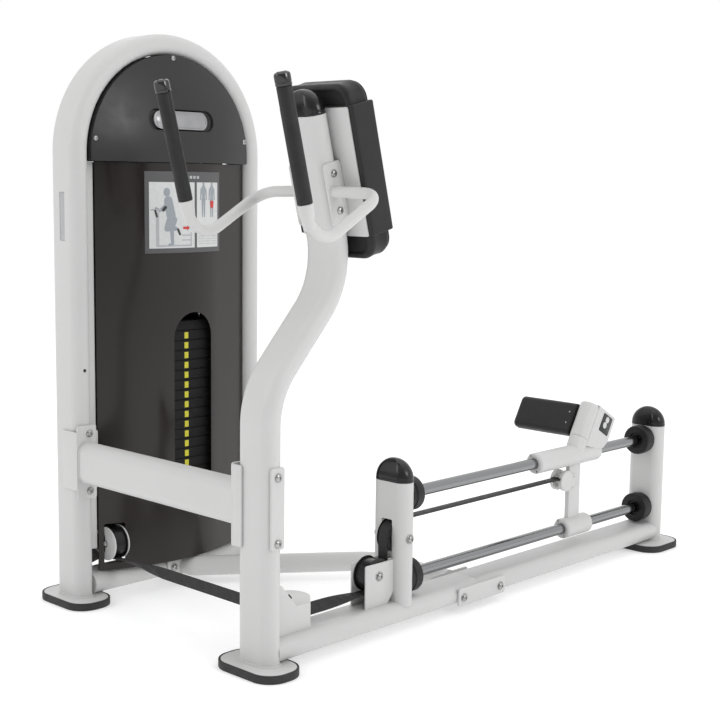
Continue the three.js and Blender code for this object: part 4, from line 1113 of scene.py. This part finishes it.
def foot_head():
    """Swivel tube of the foot board, and the backing block that is fixed to the carriage behind it."""
    nose = [(JOINT_S + CLEAR, 25.2), (JOINT_S + 1, 26), (HEAD_S - 7, 26), (HEAD_S - 3, 25.2),
            (HEAD_S - 1, 23.4), (HEAD_S - 0.2, 21), (HEAD_S, 18)]
    make("foot_head_nose", turned(nose, on_stub(0, 0, 0), STUB_DIR, 72), PAINT, "foot", ["foot_pad_head"],
         sharp=40)
    side = [(7, 34), (60, 46), (89, 60), (99.5, 82), (99, 108), (99, HEAD_S + 4), (7, HEAD_S + 4)]
    outline = rounded_outline(side, [2, 6, 10, 12, 12, 5, 1])
    rod_way = turned([(-10, 15.2), (200, 15.2)], (1180, 0, ROD_UP_Z), EX, 48)
    pocket = turned([(JOINT_S - 0.4, 26.4), (HEAD_S + 0.6, 26.4)], on_stub(0, 0, 0), STUB_DIR, 72)
    make("backing_block", block_rings(outline, 25.4), PAINT, "carriage", sharp=40, cuts=[rod_way, pocket])
    centre = on_stub(63, -25.4, 120)
    label = plate(24, 26, 4, 0.7, centre, STUB_OUT, STUB_DIR, edge=0.25)
    make("head_label", label, GLOSS, "carriage")
    for k, (dp, ds) in enumerate(((1, 13), (-3, -4))):
        at = on_stub(62 + dp, -26.05, 120 + ds)
        disc = [(0, 8.6), (0.5, 8.6), (0.8, 8.2), (0.8, 5.4), (0.55, 5.1), (0.8, 4.8), (0.8, 1)]
        make(f"head_label_disc_{k}", turned(disc, at, -EY, 40), PAPER, "carriage", sharp=50)


def foot_board():
    """Padded board under the sole: rounded at its free end and slightly crowned."""
    def loop(y, inset):
        section = round_rect(18 - inset, 46 - inset, 13 - inset * 0.5, 12)
        return ring(section, on_stub(-6, y, 96), STUB_OUT, STUB_DIR)

    rings = [loop(26.4, 1.5), loop(27.6, 0.3)]
    rings += [loop(y, 0.25 - 0.25 * math.cos(math.pi * (y - 118) / 180)) for y in arc(30, 200, 34)]
    rings += [loop(202 + 12 * math.sin(t), 12 * (1 - math.cos(t)) * 0.86) for t in arc(0, math.pi / 2, 12)]
    board = make("foot_board", loft(rings), VINYL, "foot", ["foot_pad"], sharp=60)
    for k, s in enumerate((112, 80)):
        rivet = turned([(-0.6, 2.4), (0.5, 2.2), (1.1, 1.2)], on_stub(-24, 40, s), -STUB_OUT, 20)
        make(f"board_rivet_{k}", rivet, STEEL, "foot")


# ------------------------------------------------------------------ chest pad, handles and grips
def handle_frame():
    web = plate(98, 138, 4, 4, on_lean(PAD_BACK - 4.3, 0, 976), EY, LEAN_UP)
    make("pad_plate", web, PAINT, replaces=["handle_frame"])
    outer = TUBE_W / 2 + CLEAR
    for side, s in (("near", -1), ("far", 1)):
        ear = plate(26, 68, 9, 6, on_lean(415.5, s * outer + 3, 938), LEAN_BACK, LEAN_UP, edge=2.2)
        make(f"ear_{side}", ear, PAINT)
        for k, q in enumerate((981.5, 901.6)):
            bolt(f"ear_bolt_{side}_{k}", on_lean(415, s * (outer + 3), q), EY * s, 8.5, washer=False)
        foot_point = vec(-49.6, s * HANDLE_Y, 994)
        path = [vec(157, s * 52, 1016), vec(168, s * HANDLE_Y, 1013), vec(-25.4, s * HANDLE_Y, 900),
                foot_point - LEAN_UP * 3]
        make(f"handle_bar_{side}", sweep(circle(HANDLE_R, 32), filleted(path, [44, 56], 24), EZ), PAINT,
             sharp=50)
        cup = [(-52, HANDLE_R), (-44, HANDLE_R + 0.5), (-30, 14.2), (-14, 16.4), (-3, 17), (-1.2, 16.7),
               (-0.5, 15.8)]
        make(f"grip_cup_{side}", turned(cup, foot_point, LEAN_UP, 48), PAINT, sharp=40)
        weld(f"handle_weld_{side}", circle(HANDLE_R, 32), (157, s * (outer + 3.2), 1016), EX, EZ, 2)
        sleeve_profile = [(-0.3, 13.5), (0.2, 14.9), (1.4, GRIP_R), (10, GRIP_R + 0.15),
                          (GRIP_L - 3, GRIP_R), (GRIP_L - 0.6, 15), (GRIP_L, 14)]
        make(f"grip_sleeve_{side}", turned(sleeve_profile, foot_point, LEAN_UP, 56), GRIP,
             replaces=[f"grip_{side}"], sharp=50)
        cap = [(GRIP_L + 0.2, 14.6), (GRIP_L + 0.6, 16), (GRIP_L + 1.4, 16.3), (GRIP_L + 5, 16.3),
               (GRIP_L + 5.6, 15.7), (GRIP_L + 7, 15.7), (GRIP_L + 7.6, 16.3), (GRIP_L + 20, 16.3),
               (GRIP_L + 23.5, 15.2), (GRIP_L + 25.4, 12.8), (GRIP_L + 26.2, 10.4), (GRIP_L + 25.2, 9.2),
               (GRIP_L + 25.2, 5.2), (GRIP_L + 26.6, 4.4), (GRIP_L + 27.2, 1.2)]
        # The caps' near-black chrome is painted dark reflection.
        make(f"grip_end_{side}", turned(cap, foot_point, LEAN_UP, 48), CHROME_PAINTED_DARK,
             replaces=[f"grip_cap_{side}"], sharp=30)


def pad_loop(hy, hs, r, c, n=12):
    return ring(round_rect(hy, hs, max(r, 1), n), on_lean(PAD_BACK + c, 0, PAD_MID), EY, LEAN_UP)


def pad_core():
    """Moulded cushion: recessed back, rounded rim, sides drawn in at mid depth and a crowned face."""
    hy, hs, r = PAD_HALF, PAD_HALF_L, 40
    rings = [pad_loop(hy - 14, hs - 14, r - 12, 6), pad_loop(hy - 13, hs - 13, r - 11, 1.2),
             pad_loop(hy - 11.5, hs - 11.5, r - 10, 0.2)]
    rings += [pad_loop(hy - 11 * (1 - math.sin(t)), hs - 11 * (1 - math.sin(t)), r - 9 * (1 - math.sin(t)),
                       11 * (1 - math.cos(t))) for t in arc(0.15, math.pi / 2, 8)]
    depth = PAD_T - 6
    for t in arc(0, 1, 12)[1:]:
        draw = 1.3 * math.sin(math.pi * t)
        rings.append(pad_loop(hy - draw, hs - draw, r - draw, 11 + (depth - 24) * t))
    for t in arc(0, math.pi / 2, 8)[1:]:
        inset = 13 * (1 - math.cos(t))
        rings.append(pad_loop(hy - inset, hs - inset, r - inset * 0.8, depth - 13 + 13 * math.sin(t)))
    for t in arc(0, 1, 14)[1:]:
        inset = 13 + 86 * t
        rings.append(pad_loop(hy - inset, hs - inset, r - inset * 0.36,
                              depth + 5.5 * math.sin(t * math.pi / 2)))
    core = make("pad_core", loft(rings), VINYL, replaces=["chest_pad"], sharp=70)
    edge = pad_loop(hy - 5, hs - 5, r - 4, depth - 1.2)
    make("pad_core_piping", piping(edge, 1.5), VINYL, sharp=80)


def piping(line, r):
    """Thin sewn cord along a closed line on the pad's face."""
    n, rings = len(line), []
    for i, p in enumerate(line):
        t = unit(line[(i + 1) % n] - line[i - 1])
        u = unit(LEAN_BACK - t * (LEAN_BACK @ t))
        rings.append(ring(circle(r, 8), p, u, np.cross(t, u)))
    return loft(rings, closed=True)


def pad_band():
    """Raised wrap round the middle of the pad, square-edged, with a sewn border on its face."""
    def loop(hy, hs, r, c):
        return ring(round_rect(hy, hs, max(r, 0.6), 8), on_lean(PAD_BACK + c, 0, BAND_MID), EY, LEAN_UP)

    hy, hs = 110, 139
    rings = [loop(hy - 3, hs - 2, 2, -0.5), loop(hy - 0.8, hs - 0.6, 2.5, 0.4), loop(hy, hs, 3, 2)]
    rings += [loop(hy + 0.5 * math.sin(math.pi * t), hs, 3, 2 + 59 * t) for t in arc(0, 1, 10)[1:]]
    for t in arc(0, math.pi / 2, 5)[1:]:
        inset = 4 * (1 - math.cos(t))
        rings.append(loop(hy - inset, hs - inset, 3, 61 + 4 * math.sin(t)))
    for t in arc(0, 1, 14)[1:]:
        inset = 4 + 102 * t
        dip = -1.6 * math.exp(-((inset - 16) / 2.6) ** 2)
        rings.append(loop(hy - inset, hs - inset, 3, 65 + 4.2 * math.sin(t * math.pi / 2) + dip))
    band = make("pad_band", loft(rings), VINYL, sharp=45)
    for k, side in enumerate((-1, 1)):
        seam = ring(round_rect(1.0, 30, 0.9, 4), on_lean(PAD_BACK + 31, side * 110.3, BAND_MID), LEAN_UP,
                    LEAN_BACK)
        make(f"pad_band_seam_{k}", piping_flat(seam), VINYL, sharp=80)


def piping_flat(line):
    """Low sewn ridge standing on the pad's side."""
    low = [p - EY * 0.4 for p in line]
    high = [p + EY * 0.4 for p in line]
    return loft([low, high])


# ------------------------------------------------------------------ camera, light and floor
def camera():
    """Seen from the user's column side, a little above the pad."""
    heading, pitch, roll = math.radians(43.70), math.radians(7.43), math.radians(0.722)
    fw = vec(math.cos(heading) * math.cos(pitch), math.sin(heading) * math.cos(pitch), -math.sin(pitch))
    rt = vec(math.sin(heading), -math.cos(heading), 0)
    up = np.cross(rt, fw)
    right = rt * math.cos(roll) + up * math.sin(roll)
    upward = -rt * math.sin(roll) + up * math.cos(roll)
    data = bpy.data.cameras.new("camera")
    data.sensor_width, data.lens = 36, 68.225
    data.clip_end = 100
    obj = add_object("camera", data)
    place = to_frame(-1887, -2089, 1037)
    rows = [[right[i], upward[i], -fw[i], place[i]] for i in range(3)] + [[0, 0, 0, 1]]
    obj.matrix_world = Matrix(rows)
    bpy.context.scene.camera = obj


def soft_box(name, place, aim, size, power):
    data = bpy.data.lights.new(name, "AREA")
    data.shape = "RECTANGLE"
    data.size, data.size_y = size
    data.energy = power
    obj = add_object(name, data)
    obj.location = place
    obj.rotation_mode = "QUATERNION"
    obj.rotation_quaternion = (Vector(aim) - Vector(place)).to_track_quat("-Z", "Y")


def surround():
    """White room that is dimmer low down behind the camera, so that glossy faces keep some depth."""
    world = bpy.data.worlds.new("studio")
    world.use_nodes = True
    tree = world.node_tree
    back = tree.nodes["Background"]
    back.inputs["Strength"].default_value = 1.0
    coords = tree.nodes.new("ShaderNodeTexCoord").outputs["Generated"]
    dot = tree.nodes.new("ShaderNodeVectorMath")
    dot.operation = "DOT_PRODUCT"
    dot.inputs[1].default_value = Vector((-0.72, -0.69, 0.05)).normalized()
    tree.links.new(coords, dot.inputs[0])
    ramp = tree.nodes.new("ShaderNodeValToRGB")
    ramp.color_ramp.interpolation = "EASE"
    (low, high), shade = ramp.color_ramp.elements, 0.4
    low.position, low.color = 0.3, (1, 1, 1, 1)
    high.position, high.color = 0.9, (shade, shade, shade, 1)
    tree.links.new(dot.outputs["Value"], ramp.inputs["Fac"])
    tree.links.new(ramp.outputs["Color"], back.inputs["Color"])
    bpy.context.scene.world = world


def studio():
    surround()
    soft_box("light_top", (0.2, 0.1, 4.2), (0, 0, 0.3), (3.5, 3.5), 18)
    soft_box("light_left", (-3.4, 1.2, 2.6), (-0.3, 0, 0.8), (1.0, 2.6), 20)
    soft_box("light_front", (0.0, -4.3, 2.6), (-0.3, 0, 0.9), (1.5, 1.5), 42)
    soft_box("light_rear", (2.6, 3.4, 2.6), (0, 0, 0.6), (2.4, 2.4), 10)
    bpy.ops.mesh.primitive_plane_add(size=60, location=(0, 0, -0.0005))
    floor = bpy.context.object
    floor.name = "floor"
    look = Look("pale_floor", (0.8, 0.8, 0.8), 0.95, specular_ior_level=0.0)
    look.set("Emission Color", (1, 1, 1, 1))
    look.set("Emission Strength", 0.34)
    look.tint(look.noise(0.8, 2), (0.79, 0.79, 0.795))
    floor.data.materials.append(look.mat)
    bpy.context.scene.view_settings.view_transform = "Standard"
    bpy.context.scene.view_settings.look = "None"


# ------------------------------------------------------------------ assembly
CAD_LOOKS = {"belt_run": BELT, "stack_cushion": SHOE}


def dress_cad_nodes():
    """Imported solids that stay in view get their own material."""
    for node, (mat, slot) in CAD_LOOKS.items():
        obj = frame["nodes"][node]
        obj.data.materials.clear()
        obj.data.materials.append(mat)


camera()
studio()
user_column()
base_beam()
posts()
guide_rods()
tie()
tower()
brace()
shrouds()
covers()
placard()
weight_stack()
wheels()
wheel_mounts()
corner_guard()
belts()
carriage()
foot_head()
foot_board()
handle_frame()
pad_core()
pad_band()
dress_cad_nodes()
